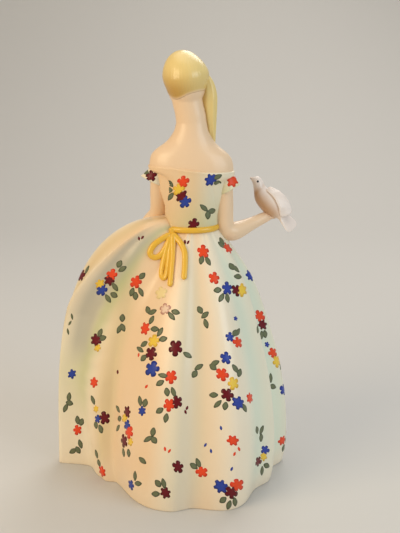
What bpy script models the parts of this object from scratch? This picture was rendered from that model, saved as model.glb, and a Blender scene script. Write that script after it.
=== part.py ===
"""Ceramic lady figurine with a bird on her hand, built from the pieces that a pottery sticks together.

Lengths are in metres. +Z is up, the lady faces +Y, and the origin is on the table under the middle
of the figure. Angles are in degrees, anticlockwise from +X seen from above, so 270 is her back.
Every piece is its own casting or hand-rolled strip, and a thin seam of slip lies between neighbours.
"""

import math

import bmesh
import bpy
import numpy as np
from mathutils import Matrix, Vector

# Seams and walls
SLIP_GAP = 0.0003
WAIST_SEAM = 0.0005
SKIRT_WALL = 0.0036
BODICE_WALL = 0.0030
SPIGOT_DEPTH = 0.0050
SPIGOT_WALL = 0.0025
SPIGOT_PLAY = 0.0008
NECK_PLUG_DEPTH = 0.0070

# Upright line of the torso, which stands beside the middle of the hem
TORSO_OFFSET = 0.0102
HEM_OFFSET = 0.0020

# Skirt: a bell with hand-pulled folds
WAIST_HEIGHT = 0.1672
WAIST_HALF_WIDTH = 0.0172
WAIST_HALF_DEPTH = 0.0135
HEM_RADIUS = 0.0662
BELL_POWER = 2.2
HEM_TUCK = 0.0024
HEM_TUCK_HEIGHT = 0.0090
# Ridges and valleys round the hem: angle, and radius as a share of the hem radius
HEM_FOLDS = (
    (6, 1.12), (20, 1.03), (36, 1.09), (50, 1.00), (66, 1.07), (79, 0.98), (94, 1.055), (108, 0.97),
    (124, 1.05), (138, 0.96), (154, 1.02), (168, 0.92), (180, 0.92), (191, 0.86), (204, 0.87),
    (214, 0.80), (266, 1.04), (277, 0.985), (299, 1.125), (325, 0.975), (338, 1.02), (350, 0.95),
)

# Drape: the side of the skirt that her left hand holds out
DRAPE_ANGLE = 178
DRAPE_REACH = 0.0680
DRAPE_TOP_POWER = 3.9
DRAPE_SIDE_POWER = 2.2
DRAPE_RISE = 0.0105
DRAPE_RISE_BACK = (224, 196)
DRAPE_RISE_FRONT = (130, 156)
DRAPE_BACK_SPREAD = (8, 15)
DRAPE_FRONT_SPREAD = (18, 16)
DRAPE_SOLID_TIP = 0.0080
CREASE_ANGLE = 207
CREASE_SPREAD = 7
CREASE_DEPTH = 0.0022

# Bodice
BODICE_HEIGHT = 0.0388
NECKLINE_FRONT_DIP = 0.0030
SHOULDER_SLOPE = 0.075
BODICE_HALF_WIDTH = 0.0176
BODICE_BACK_DEPTH = 0.0146
BODICE_FRONT_DEPTH = 0.0170
CHEST_SWELL = 0.0040
CHEST_SHARE = 0.62
CHEST_SPREAD = 0.2

# Bust: shoulders, neck and head in one casting
SHOULDER_HALF_WIDTH = 0.0270
SHOULDER_HALF_DEPTH = 0.0132
NECK_HALF_WIDTH = 0.0097
NECK_HALF_DEPTH = 0.0092
NECK_FORWARD = 0.0030
NECK_LEAN = 0.0031
SHOULDER_TO_NECK = 0.0300
NECK_LENGTH = 0.0130
NECK_TOP_SHARE = 0.80
HEAD_FORWARD = 0.0012
HEAD_HALF_WIDTH = 0.0126
HEAD_HALF_DEPTH = 0.0150
HEAD_HALF_HEIGHT = 0.0175
HEAD_SINK = 0.0055
CHIN_NARROWING = 0.35
NOSE_LENGTH = 0.0022
NOSE_HALF_WIDTH = 0.0018
NOSE_HALF_HEIGHT = 0.0032
NOSE_DROP = 0.0021

# Hair
HAIR_THICKNESS = 0.0020
NAPE_DROP = 0.0088
HAIRLINE_HEIGHT = 0.0085
FACE_OPENING_HALF_WIDTH = 0.0100
TRESS_RADIUS = 0.0042

# Arms
UPPER_ARM_RADIUS = 0.0043
ELBOW_RADIUS = 0.0046
WRIST_RADIUS = 0.0027
PALM_RADIUS = 0.0034
FINGERTIP_RADIUS = 0.0011
RIGHT_ELBOW_OUT = 0.0016
RIGHT_ELBOW_FORWARD = 0.0020
RIGHT_ELBOW_DROP = 0.0042
RIGHT_FOREARM = (0.0255, 0.0170, 0.0080)
RIGHT_HAND = (0.0115, 0.0060, 0.0005)
LEFT_ELBOW_OUT = 0.0018
LEFT_ELBOW_FORWARD = 0.0150
LEFT_ELBOW_DROP = -0.0038
LEFT_FOREARM = (-0.0225, 0.0080, -0.0240)
LEFT_HAND = (-0.0075, 0.0020, -0.0110)

# Sleeves
SLEEVE_DROP = 0.0012
SLEEVE_TOP_RADIUS = 0.0066
SLEEVE_FLARE = 0.0012
RIGHT_SLEEVE_HEIGHT = 0.0120
RIGHT_SLEEVE_HEM_RADIUS = 0.0082
LEFT_SLEEVE_HEIGHT = 0.0092
LEFT_SLEEVE_HEM_RADIUS = 0.0090

# Bird, in its own frame: +X is forward along the body, +Z is its back
BIRD_TURN = 166
BIRD_PITCH = 45
BIRD_LENGTH = 0.0460
BIRD_BODY_RADIUS = 0.0078
WING_LENGTH = 0.0270
WING_HALF_WIDTH = 0.0068
WING_THICKNESS = 0.0024
WING_LEAN = 30
BIRD_SINK = 0.0040
BIRD_FORWARD = 0.0004

# Ribbon: rolled strips of clay
BELT_RADIUS = 0.0021
BELT_LIFT = 0.0028
BELT_FROM_ANGLE = 219
BELT_TO_ANGLE = 495
BOW_LENGTH = 0.0320
RIBBON_RADIUS = 0.0016
STRIP_LIFT = 0.35
KNOT_ANGLE = 219
KNOT_DROP = 0.0008
KNOT_HALF_WIDTH = 0.0026
KNOT_HALF_HEIGHT = 0.0036

# Facets
SKIRT_SIDES = 72
SKIRT_ROWS = 14
BODICE_ROWS = 5
BUST_SIDES = 32
TUBE_STEPS = 4

# Finishes: base colour and roughness of each glaze
GLAZES = {
    "dress_glaze": ((0.90, 0.87, 0.78), 0.28),
    "skin_glaze": ((0.89, 0.77, 0.66), 0.32),
    "hair_glaze": ((0.88, 0.74, 0.36), 0.30),
    "ribbon_glaze": ((0.88, 0.62, 0.10), 0.28),
    "bird_glaze": ((0.90, 0.82, 0.74), 0.32),
}


def clear_scene():
    for obj in list(bpy.data.objects):
        bpy.data.objects.remove(obj, do_unlink=True)


def make_glazes():
    """One Principled material for each glaze."""
    for name, (colour, roughness) in GLAZES.items():
        glaze = bpy.data.materials.new(name)
        glaze.use_nodes = True
        shader = glaze.node_tree.nodes["Principled BSDF"]
        shader.inputs["Base Color"].default_value = (*colour, 1.0)
        shader.inputs["Roughness"].default_value = roughness
        shader.inputs["Metallic"].default_value = 0.0


def make_collection(name):
    collection = bpy.data.collections.new(name)
    bpy.context.scene.collection.children.link(collection)
    return collection


# Small helpers for curves


def mix(low, high, share):
    return low + (high - low) * share


def ease(share):
    """0 to 1 with level ends."""
    share = min(1.0, max(0.0, share))
    return share * share * (3 - 2 * share)


def turn_from(angle, centre):
    """Signed angle from centre, between -180 and 180 degrees."""
    return (angle - centre + 180) % 360 - 180


def hill(distance, spread):
    return math.exp(-0.5 * (distance / spread) ** 2)


def oval(angle, half_width, back_depth, front_depth):
    """Radius of an oval that may be deeper in front than behind."""
    turn = math.radians(angle)
    depth = front_depth if math.sin(turn) > 0 else back_depth
    return 1 / math.hypot(math.cos(turn) / half_width, math.sin(turn) / depth)


def around(sides):
    return [360 * step / sides for step in range(sides)]


def at_polar(centre_x, centre_y, angle, radius, height):
    turn = math.radians(angle)
    return Vector((centre_x + radius * math.cos(turn), centre_y + radius * math.sin(turn), height))


def smooth_path(points, steps):
    """Points along a Catmull-Rom curve through the given points. Each point may carry a radius as well."""
    knots = np.array(points, float)
    knots = np.vstack([2 * knots[0] - knots[1], knots, 2 * knots[-1] - knots[-2]])
    path = []
    for a, b, c, d in zip(knots, knots[1:], knots[2:], knots[3:]):
        for t in np.arange(steps) / steps:
            path.append(0.5 * (2 * b + (c - a) * t + (2 * a - 5 * b + 4 * c - d) * t**2
                               + (3 * b - a - 3 * c + d) * t**3))
    path.append(knots[-2])
    return np.array(path)


# Makers of objects


def add_object(name, mesh, glaze):
    obj = bpy.data.objects.new(name, mesh)
    bpy.data.collections["lady_figurine"].objects.link(obj)
    mesh.materials.clear()
    mesh.materials.append(bpy.data.materials[glaze])
    mesh.shade_smooth()
    return obj


def mesh_from(bm, name):
    bmesh.ops.recalc_face_normals(bm, faces=bm.faces)
    mesh = bpy.data.meshes.new(name)
    bm.to_mesh(mesh)
    bm.free()
    return mesh


def skin(name, rings, ring_closed=False):
    """A mesh over rings of points. The rings are capped at both ends or, if closed, joined end to end."""
    bm = bmesh.new()
    rows = [[bm.verts.new(point) for point in ring] for ring in rings]
    pairs = list(zip(rows, rows[1:]))
    if ring_closed:
        pairs.append((rows[-1], rows[0]))
    else:
        bm.faces.new(list(reversed(rows[0])))
        bm.faces.new(rows[-1])
    for low, high in pairs:
        for step in range(len(low)):
            after = (step + 1) % len(low)
            bm.faces.new((low[step], low[after], high[after], high[step]))
    return mesh_from(bm, name)


def loft(name, rings, glaze, ring_closed=False):
    return add_object(name, skin(name, rings, ring_closed), glaze)


def ball(name, centre, half_sizes, glaze, segments=20, rings=12):
    bm = bmesh.new()
    bmesh.ops.create_uvsphere(bm, u_segments=segments, v_segments=rings, radius=1)
    bmesh.ops.scale(bm, vec=half_sizes, verts=bm.verts)
    bmesh.ops.translate(bm, vec=centre, verts=bm.verts)
    return add_object(name, mesh_from(bm, name), glaze)


def tube(name, points, glaze, steps=TUBE_STEPS, bevel_resolution=3):
    """A rolled strip or a limb: each point is x, y, z and radius. It is returned as a closed mesh."""
    path = smooth_path(points, steps)
    curve = bpy.data.curves.new(name + "_line", "CURVE")
    curve.dimensions = "3D"
    curve.bevel_depth = 1.0
    curve.bevel_resolution = bevel_resolution
    curve.use_fill_caps = True
    spline = curve.splines.new("POLY")
    spline.points.add(len(path) - 1)
    for point, (x, y, z, radius) in zip(spline.points, path):
        point.co = (x, y, z, 1.0)
        point.radius = radius
    line = bpy.data.objects.new(name + "_line", curve)
    bpy.context.scene.collection.objects.link(line)
    bpy.context.view_layer.update()
    evaluated = line.evaluated_get(bpy.context.evaluated_depsgraph_get())
    bm = bmesh.new()
    bm.from_mesh(bpy.data.meshes.new_from_object(evaluated))
    bmesh.ops.remove_doubles(bm, verts=bm.verts, dist=1e-6)
    bpy.data.objects.remove(line)
    return add_object(name, mesh_from(bm, name), glaze)


def boolean(piece, other, operation):
    step = piece.modifiers.new(operation.lower() + "_" + other.name, "BOOLEAN")
    step.operation = operation
    step.solver = "EXACT"
    step.use_self = True
    step.object = other


def settle(piece):
    """Keeps the evaluated shape as the piece's own mesh."""
    bpy.context.view_layer.update()
    evaluated = piece.evaluated_get(bpy.context.evaluated_depsgraph_get())
    mesh = bpy.data.meshes.new_from_object(evaluated)
    piece.modifiers.clear()
    piece.data = mesh


def join(piece, *others):
    """Unites shapes into one casting."""
    for other in others:
        boolean(piece, other, "UNION")
    settle(piece)
    for other in others:
        bpy.data.objects.remove(other)
    return piece


def hide_as_cutter(obj):
    for collection in list(obj.users_collection):
        collection.objects.unlink(obj)
    bpy.data.collections["cutters"].objects.link(obj)
    obj.hide_render = True
    obj.display_type = "WIRE"


def add_clearance(name, mesh, matrix):
    """A hidden copy of a piece, grown by the slip seam, that cuts the seat in the piece beside it."""
    cutter = bpy.data.objects.new(name + "_clearance", mesh)
    cutter.matrix_world = matrix
    grow = cutter.modifiers.new("slip_gap", "DISPLACE")
    grow.strength = SLIP_GAP
    grow.mid_level = 0.0
    hide_as_cutter(cutter)
    return cutter


def clearance_of(neighbour):
    name = neighbour.name + "_clearance"
    if name in bpy.data.objects:
        return bpy.data.objects[name]
    return add_clearance(neighbour.name, neighbour.data.copy(), neighbour.matrix_world)


def seat(piece, *neighbours):
    """Cuts the piece back to a slip seam's width from each neighbour."""
    for neighbour in neighbours:
        boolean(piece, clearance_of(neighbour), "DIFFERENCE")


# Heights that follow from the driving sizes
NECKLINE_HEIGHT = WAIST_HEIGHT + BODICE_HEIGHT

# Skirt


def rim_rise(angle):
    """How far the top edge of the skirt climbs at the drape."""
    away = turn_from(angle, DRAPE_ANGLE)
    foot, crown = DRAPE_RISE_BACK if away > 0 else DRAPE_RISE_FRONT
    span = abs(foot - crown)
    return DRAPE_RISE * ease((abs(foot - DRAPE_ANGLE) - abs(away)) / span)


def rim_height(angle):
    return WAIST_HEIGHT + rim_rise(angle)


def waist_radius(angle):
    return oval(angle, WAIST_HALF_WIDTH, WAIST_HALF_DEPTH, WAIST_HALF_DEPTH)


def hem_radius(angle):
    """Radius at the hem, easing from each ridge to the next valley."""
    angle %= 360
    folds = [*HEM_FOLDS, (HEM_FOLDS[0][0] + 360, HEM_FOLDS[0][1])]
    if angle < folds[0][0]:
        angle += 360
    for (start, share), (end, next_share) in zip(folds, folds[1:]):
        if start <= angle <= end:
            wave = (1 - math.cos(math.pi * (angle - start) / (end - start))) / 2
            return HEM_RADIUS * mix(share, next_share, wave)
    return HEM_RADIUS


def bell_radius(angle, height):
    """The skirt without its drape."""
    top = rim_height(angle)
    spread = 1 - (height / top) ** BELL_POWER
    tuck = HEM_TUCK * math.exp(-height / HEM_TUCK_HEIGHT)
    return mix(waist_radius(angle), hem_radius(angle), spread) - tuck


def drape_swell(angle, height):
    """How far the drape stands out beyond the bell."""
    share = height / rim_height(angle)
    reach = DRAPE_REACH * (1 - share**DRAPE_TOP_POWER) ** (1 / DRAPE_SIDE_POWER)
    away = turn_from(angle, DRAPE_ANGLE)
    low, high = DRAPE_BACK_SPREAD if away > 0 else DRAPE_FRONT_SPREAD
    beyond = WAIST_HALF_WIDTH + reach - bell_radius(angle, height)
    return max(0.0, beyond) * hill(away, mix(low, high, share))


def crease(angle, height):
    """The valley that runs beside the drape."""
    share = height / rim_height(angle)
    return CREASE_DEPTH * hill(turn_from(angle, CREASE_ANGLE), CREASE_SPREAD) * math.sin(math.pi * share)


def skirt_radius(angle, height):
    return bell_radius(angle, height) + drape_swell(angle, height) - crease(angle, height)


def skirt_inside_radius(angle, height):
    """The wall is even, but the narrow tip of the drape is cast solid."""
    swell = max(0.0, drape_swell(angle, height) - DRAPE_SOLID_TIP)
    return bell_radius(angle, height) + swell - crease(angle, height) - SKIRT_WALL


def skirt_axis_x(height):
    return mix(HEM_OFFSET, TORSO_OFFSET, min(1.0, height / WAIST_HEIGHT))


def skirt_point(angle, height):
    return at_polar(skirt_axis_x(height), 0, angle, skirt_radius(angle, height), height)


def skirt_normal(angle, height):
    """Outward direction of the skirt's surface, from two short steps along it."""
    step_angle = 1.0
    step_height = 0.0005
    across = skirt_point(angle + step_angle, height) - skirt_point(angle - step_angle, height)
    upward = skirt_point(angle, height) - skirt_point(angle, height - step_height)
    return across.cross(upward).normalized()


def skirt_ring(share, radius_at):
    """One ring of the skirt, from share 0 at the rim to 1 at the hem."""
    ring = []
    for angle in around(SKIRT_SIDES):
        height = rim_height(angle) * (1 - share**2)
        ring.append(at_polar(skirt_axis_x(height), 0, angle, radius_at(angle, height), height))
    return ring


def make_skirt():
    shares = [row / SKIRT_ROWS for row in range(SKIRT_ROWS + 1)]
    outside = [skirt_ring(share, skirt_radius) for share in shares]
    inside = [skirt_ring(share, skirt_inside_radius) for share in reversed(shares)]
    add_clearance("skirt", skin("skirt_outside", outside), Matrix())
    return loft("skirt", outside + inside, "dress_glaze", ring_closed=True)


# Bodice


def neckline_height(angle):
    """The top edge slopes with the shoulders and dips in front."""
    turn = math.radians(angle)
    slope = -SHOULDER_SLOPE * SHOULDER_HALF_WIDTH * math.cos(turn)
    return NECKLINE_HEIGHT + slope - NECKLINE_FRONT_DIP * max(0.0, math.sin(turn)) ** 2


def bodice_radius(angle, share):
    """Outer radius, from share 0 at the waist seam to 1 at the neckline."""
    front = mix(WAIST_HALF_DEPTH, BODICE_FRONT_DEPTH, ease(share))
    front += CHEST_SWELL * hill(share - CHEST_SHARE, CHEST_SPREAD)
    back = mix(WAIST_HALF_DEPTH, BODICE_BACK_DEPTH, ease(share))
    width = mix(WAIST_HALF_WIDTH, BODICE_HALF_WIDTH, ease(share))
    return oval(angle, width, back, front)


def make_bodice():
    angles = around(SKIRT_SIDES)
    rings = []

    def add_ring(radius_at, height_at):
        rings.append([at_polar(TORSO_OFFSET, 0, a, radius_at(a), height_at(a)) for a in angles])

    def seam(angle):
        return rim_height(angle) + WAIST_SEAM

    def spigot(angle):
        return waist_radius(angle) - SKIRT_WALL - SPIGOT_PLAY

    def inner(angle):
        return bodice_radius(angle, 1) - BODICE_WALL

    for row in range(BODICE_ROWS + 1):
        share = 1 - row / BODICE_ROWS
        add_ring(lambda a: bodice_radius(a, share), lambda a: mix(seam(a), neckline_height(a), share))
    sunk = [at_polar(TORSO_OFFSET, 0, a, bodice_radius(a, 0), WAIST_HEIGHT - SPIGOT_DEPTH) for a in angles]
    add_clearance("bodice", skin("bodice_outside", [*rings, sunk]), Matrix())
    add_ring(spigot, seam)
    add_ring(spigot, lambda a: seam(a) - SPIGOT_DEPTH)
    add_ring(lambda a: spigot(a) - SPIGOT_WALL, lambda a: seam(a) - SPIGOT_DEPTH)
    add_ring(lambda a: spigot(a) - SPIGOT_WALL, lambda a: seam(a) + BODICE_WALL)
    add_ring(inner, lambda a: neckline_height(a) - 2 * NECK_PLUG_DEPTH)
    add_ring(inner, neckline_height)
    return loft("bodice", rings, "dress_glaze", ring_closed=True)


# Bust

# Height above the neckline as a share of the rise to the neck, and the share of the way in to the neck
SHOULDER_STEPS = ((0.01, 0.05), (0.10, 0.0), (0.20, 0.03), (0.30, 0.11), (0.40, 0.27), (0.50, 0.50),
                  (0.60, 0.68), (0.72, 0.83), (0.84, 0.94), (1.0, 1.0))
HEAD_CENTRE = Vector((
    TORSO_OFFSET - NECK_LEAN,
    NECK_FORWARD + HEAD_FORWARD,
    NECKLINE_HEIGHT + SHOULDER_TO_NECK + NECK_LENGTH + HEAD_HALF_HEIGHT - HEAD_SINK,
))


def neck_radius(angle):
    return oval(angle, NECK_HALF_WIDTH, NECK_HALF_DEPTH, NECK_HALF_DEPTH)


def make_shoulders():
    angles = around(BUST_SIDES)

    def plug(angle):
        return bodice_radius(angle, 1) - BODICE_WALL - SLIP_GAP

    rings = []
    for depth in (NECK_PLUG_DEPTH, -SLIP_GAP):
        rings.append([at_polar(TORSO_OFFSET, 0, a, plug(a), neckline_height(a) - depth) for a in angles])
    for rise, inward in SHOULDER_STEPS:
        half_width = mix(SHOULDER_HALF_WIDTH, NECK_HALF_WIDTH, inward)
        half_depth = mix(SHOULDER_HALF_DEPTH, NECK_HALF_DEPTH, ease(rise))
        centre_y = NECK_FORWARD * rise**2 / 2
        ring = []
        for angle in angles:
            slope = (neckline_height(angle) - NECKLINE_HEIGHT) * (1 - rise)
            height = NECKLINE_HEIGHT + slope + 2 * SLIP_GAP + SHOULDER_TO_NECK * rise
            radius = oval(angle, half_width, half_depth, half_depth)
            ring.append(at_polar(TORSO_OFFSET, centre_y, angle, radius, height))
        rings.append(ring)
    for rise, share in ((0.6, 1.0), (1.0, NECK_TOP_SHARE)):
        height = NECKLINE_HEIGHT + SHOULDER_TO_NECK + NECK_LENGTH * rise
        centre_x = TORSO_OFFSET - NECK_LEAN * rise
        centre_y = mix(NECK_FORWARD / 2, NECK_FORWARD, rise)
        rings.append([at_polar(centre_x, centre_y, a, share * neck_radius(a), height) for a in angles])
    return loft("bust", rings, "skin_glaze")


def make_head():
    """An egg that narrows to the chin, with a soft nose."""
    head = ball("head", (0, 0, 0), (HEAD_HALF_WIDTH, HEAD_HALF_DEPTH, HEAD_HALF_HEIGHT), "skin_glaze", 24, 16)
    for vertex in head.data.vertices:
        x, y, z = vertex.co
        low = max(0.0, -z / HEAD_HALF_HEIGHT)
        front = max(0.0, y / HEAD_HALF_DEPTH)
        vertex.co.x = x * (1 - CHIN_NARROWING * low * front)
        nose = hill(x, NOSE_HALF_WIDTH) * hill(z + NOSE_DROP, NOSE_HALF_HEIGHT) * front
        vertex.co.y = y + NOSE_LENGTH * nose
    head.data.transform(Matrix.Translation(HEAD_CENTRE))
    return head


def make_bust():
    return join(make_shoulders(), make_head())


# Hair


def make_hair_cap(bust):
    """A smooth cap over the crown, back and sides of the head."""
    sizes = Vector((HEAD_HALF_WIDTH, HEAD_HALF_DEPTH, HEAD_HALF_HEIGHT)) + Vector((HAIR_THICKNESS,) * 3)
    cap = ball("hair_cap", HEAD_CENTRE, sizes, "hair_glaze", 28, 18)
    depth = HEAD_HALF_DEPTH + 4 * HAIR_THICKNESS
    opening = ball(
        "face_opening",
        HEAD_CENTRE + Vector((0, depth, -HEAD_HALF_HEIGHT + HAIRLINE_HEIGHT)),
        (FACE_OPENING_HALF_WIDTH, depth, HEAD_HALF_HEIGHT), "hair_glaze",
    )
    hide_as_cutter(opening)
    boolean(cap, opening, "DIFFERENCE")
    nape = ball(
        "nape_opening",
        HEAD_CENTRE - Vector((0, 0, NAPE_DROP + 2 * HEAD_HALF_HEIGHT)),
        (8 * HEAD_HALF_WIDTH, 8 * HEAD_HALF_DEPTH, 2 * HEAD_HALF_HEIGHT), "hair_glaze", 32, 24,
    )
    hide_as_cutter(nape)
    boolean(cap, nape, "DIFFERENCE")
    seat(cap, bust)
    return cap


def make_hair_tress(bust, cap):
    """A lock that leaves the right side of the cap and tapers to the shoulder."""
    side = HEAD_CENTRE.x + HEAD_HALF_WIDTH + HAIR_THICKNESS
    forward = HEAD_CENTRE.y + 0.15 * HEAD_HALF_DEPTH
    top = HEAD_CENTRE.z
    bottom = NECKLINE_HEIGHT + 0.55 * SHOULDER_TO_NECK
    fall = top - bottom
    tip_x = TORSO_OFFSET + mix(SHOULDER_HALF_WIDTH, NECK_HALF_WIDTH, 0.66)
    path = (
        (side - 0.6 * TRESS_RADIUS, forward, top + 0.02 * fall, 0.45 * TRESS_RADIUS),
        (side + 0.1 * TRESS_RADIUS, forward, top - 0.16 * fall, 0.92 * TRESS_RADIUS),
        (mix(side, tip_x, 0.3), forward, top - 0.40 * fall, TRESS_RADIUS),
        (mix(side, tip_x, 0.6), forward, top - 0.66 * fall, 0.72 * TRESS_RADIUS),
        (tip_x - 0.1 * TRESS_RADIUS, forward, top - 0.90 * fall, 0.46 * TRESS_RADIUS),
        (tip_x, forward, bottom, 0.16 * TRESS_RADIUS),
    )
    tress = tube("hair_tress", path, "hair_glaze")
    seat(tress, cap, bust)
    return tress


# Arms and sleeves

ARM_OFFSET = BODICE_HALF_WIDTH + UPPER_ARM_RADIUS
RIGHT_ARM = (RIGHT_ELBOW_OUT, RIGHT_ELBOW_FORWARD, RIGHT_ELBOW_DROP, RIGHT_FOREARM, RIGHT_HAND)
LEFT_ARM = (LEFT_ELBOW_OUT, LEFT_ELBOW_FORWARD, LEFT_ELBOW_DROP, LEFT_FOREARM, LEFT_HAND)


def shoulder_point(side):
    x = TORSO_OFFSET + side * ARM_OFFSET
    return Vector((x, 0, neckline_height(0 if side > 0 else 180)))


def arm_path(side, elbow_out, elbow_forward, elbow_drop, forearm, hand):
    """Shoulder to fingertips: x, y, z and radius. The hand is kept as a soft mitten."""
    shoulder = shoulder_point(side)
    elbow = Vector((shoulder.x + side * elbow_out, elbow_forward, WAIST_HEIGHT - elbow_drop))
    wrist = elbow + Vector(forearm)
    palm = wrist + 0.45 * Vector(hand)
    tip = wrist + Vector(hand)
    bend = elbow.lerp(wrist, 0.22) - Vector((0, 0, 0.2 * ELBOW_RADIUS))
    return (
        (*(shoulder + Vector((0, 0, UPPER_ARM_RADIUS))), UPPER_ARM_RADIUS),
        (*shoulder.lerp(elbow, 0.45), UPPER_ARM_RADIUS),
        (*shoulder.lerp(elbow, 0.86), mix(UPPER_ARM_RADIUS, ELBOW_RADIUS, 0.6)),
        (*bend, ELBOW_RADIUS),
        (*elbow.lerp(wrist, 0.62), mix(ELBOW_RADIUS, WRIST_RADIUS, 0.6)),
        (*wrist, WRIST_RADIUS),
        (*palm, PALM_RADIUS),
        (*tip, FINGERTIP_RADIUS),
    )


def make_arm(name, side, *neighbours):
    bones = RIGHT_ARM if side > 0 else LEFT_ARM
    arm = tube(name, arm_path(side, *bones), "skin_glaze", bevel_resolution=4)
    seat(arm, *neighbours)
    return arm


def make_sleeve(name, side, height, hem_radius, *neighbours):
    """A short flared ring of cloth round the top of the arm."""
    top = shoulder_point(side) + Vector((0, 0, -SLEEVE_DROP))
    rings = []
    for share in (0.0, 0.35, 0.7, 1.0):
        centre = top + Vector((side * SLEEVE_FLARE * share, 0, -height * share))
        radius = mix(SLEEVE_TOP_RADIUS, hem_radius, share)
        rings.append([at_polar(centre.x, centre.y, a, radius, centre.z) for a in around(24)])
    sleeve = loft(name, rings, "dress_glaze")
    seat(sleeve, *neighbours)
    return sleeve


# Bird

# Stations along the body from the beak to the tail: share of the length, half width, half height, rise
BIRD_STATIONS = (
    (0.00, 0.06, 0.06, 0.40), (0.05, 0.18, 0.16, 0.44), (0.11, 0.46, 0.44, 0.52), (0.18, 0.52, 0.52, 0.54),
    (0.26, 0.50, 0.48, 0.40), (0.35, 0.72, 0.70, 0.20), (0.46, 0.96, 0.96, 0.05), (0.56, 1.00, 1.00, 0.0),
    (0.66, 0.86, 0.80, 0.04), (0.76, 0.64, 0.46, 0.10), (0.86, 0.62, 0.24, 0.08), (0.95, 0.66, 0.17, 0.02),
    (1.00, 0.48, 0.10, 0.0),
)


def make_bird_perch():
    """An empty on the hand that carries the bird's pieces, turned and pitched as the bird sits."""
    path = arm_path(1, *RIGHT_ARM)
    palm = Vector(path[-2][:3])
    perch = bpy.data.objects.new("bird_perch", None)
    bpy.data.collections["lady_figurine"].objects.link(perch)
    turn = math.radians(BIRD_TURN)
    heading = Vector((math.cos(turn), math.sin(turn), 0))
    rise = Vector((0, 0, PALM_RADIUS + BIRD_BODY_RADIUS - BIRD_SINK))
    perch.location = palm + heading * BIRD_FORWARD + rise
    perch.rotation_euler = (0, -math.radians(BIRD_PITCH), math.radians(BIRD_TURN))
    bpy.context.view_layer.update()
    return perch


def put_on_perch(piece, perch):
    piece.parent = perch
    bpy.context.view_layer.update()


def make_bird_body(perch, hand):
    """The body is pressed down on the hand, which leaves its print in the belly."""
    rings = []
    for share, width, height, rise in BIRD_STATIONS:
        x = BIRD_LENGTH * (0.54 - share)
        ring = []
        for angle in around(16):
            turn = math.radians(angle)
            y = BIRD_BODY_RADIUS * width * math.cos(turn)
            z = BIRD_BODY_RADIUS * (height * math.sin(turn) + rise)
            ring.append((x, y, z))
        rings.append(ring)
    body = loft("bird_body", rings, "bird_glaze")
    put_on_perch(body, perch)
    seat(body, hand)
    return body


def make_bird_wing(name, side, perch, body):
    """A folded wing: a flat leaf against the flank."""
    wing = ball(name, (0, 0, 0), (WING_LENGTH / 2, WING_THICKNESS, WING_HALF_WIDTH), "bird_glaze", 20, 12)
    for vertex in wing.data.vertices:
        back = 0.5 - vertex.co.x / WING_LENGTH
        vertex.co.z *= 1.1 - 0.75 * back
        vertex.co.z += 0.35 * WING_HALF_WIDTH * back
        vertex.co.y -= side * 0.5 * WING_THICKNESS * back * 2
    wing.data.transform(Matrix.Rotation(math.radians(side * WING_LEAN), 4, "X"))
    offset = (-0.11 * BIRD_LENGTH, side * 0.70 * BIRD_BODY_RADIUS, 0.55 * BIRD_BODY_RADIUS)
    wing.data.transform(Matrix.Translation(offset))
    put_on_perch(wing, perch)
    seat(wing, body)
    return wing


# Ribbon


def make_belt(bodice, skirt):
    """The strip that covers the waist seam, from the knot round to the drape."""
    height = WAIST_HEIGHT + BELT_LIFT
    path = []
    for angle in np.linspace(BELT_FROM_ANGLE, BELT_TO_ANGLE, 25):
        share = (height - rim_height(angle)) / (neckline_height(angle) - rim_height(angle))
        radius = bodice_radius(angle, max(0.0, share))
        path.append((*at_polar(TORSO_OFFSET, 0, angle, radius + STRIP_LIFT * BELT_RADIUS, height), BELT_RADIUS))
    belt = tube("belt", path, "ribbon_glaze", steps=2)
    seat(belt, bodice, skirt)
    return belt


def knot_centre():
    height = WAIST_HEIGHT - KNOT_DROP
    return skirt_point(KNOT_ANGLE, height) + skirt_normal(KNOT_ANGLE, height) * STRIP_LIFT * KNOT_HALF_WIDTH


def make_knot(*neighbours):
    sizes = (KNOT_HALF_WIDTH, KNOT_HALF_WIDTH, KNOT_HALF_HEIGHT)
    knot = ball("bow_knot", knot_centre(), sizes, "ribbon_glaze", 16, 10)
    seat(knot, *neighbours)
    return knot


# Strips of the bow along the skirt: angle, and drop below the waist seam as a share of the bow's length
BOW_STRIPS = {
    "bow_side_loop": ((216, 0.12), (210, 0.16), (207, 0.265), (206, 0.38), (209, 0.48), (213, 0.51),
                      (217, 0.405), (219, 0.305)),
    "bow_lower_loop": ((222, 0.20), (220, 0.325), (221, 0.54), (223, 0.725), (232, 0.86), (238, 0.70),
                       (235, 0.445)),
    "bow_long_tail": ((231, 0.17), (240, 0.315), (243, 0.58), (247, 0.845), (249, 1.0)),
    "bow_short_tail": ((238, 0.14), (251, 0.21), (260, 0.36), (264, 0.555), (264, 0.78)),
}


def make_strip(name, *neighbours):
    path = []
    for angle, drop in BOW_STRIPS[name]:
        height = WAIST_HEIGHT - BOW_LENGTH * drop
        centre = skirt_point(angle, height) + skirt_normal(angle, height) * STRIP_LIFT * RIBBON_RADIUS
        path.append((*centre, RIBBON_RADIUS))
    strip = tube(name, path, "ribbon_glaze", bevel_resolution=2)
    seat(strip, *neighbours)
    return strip


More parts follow.
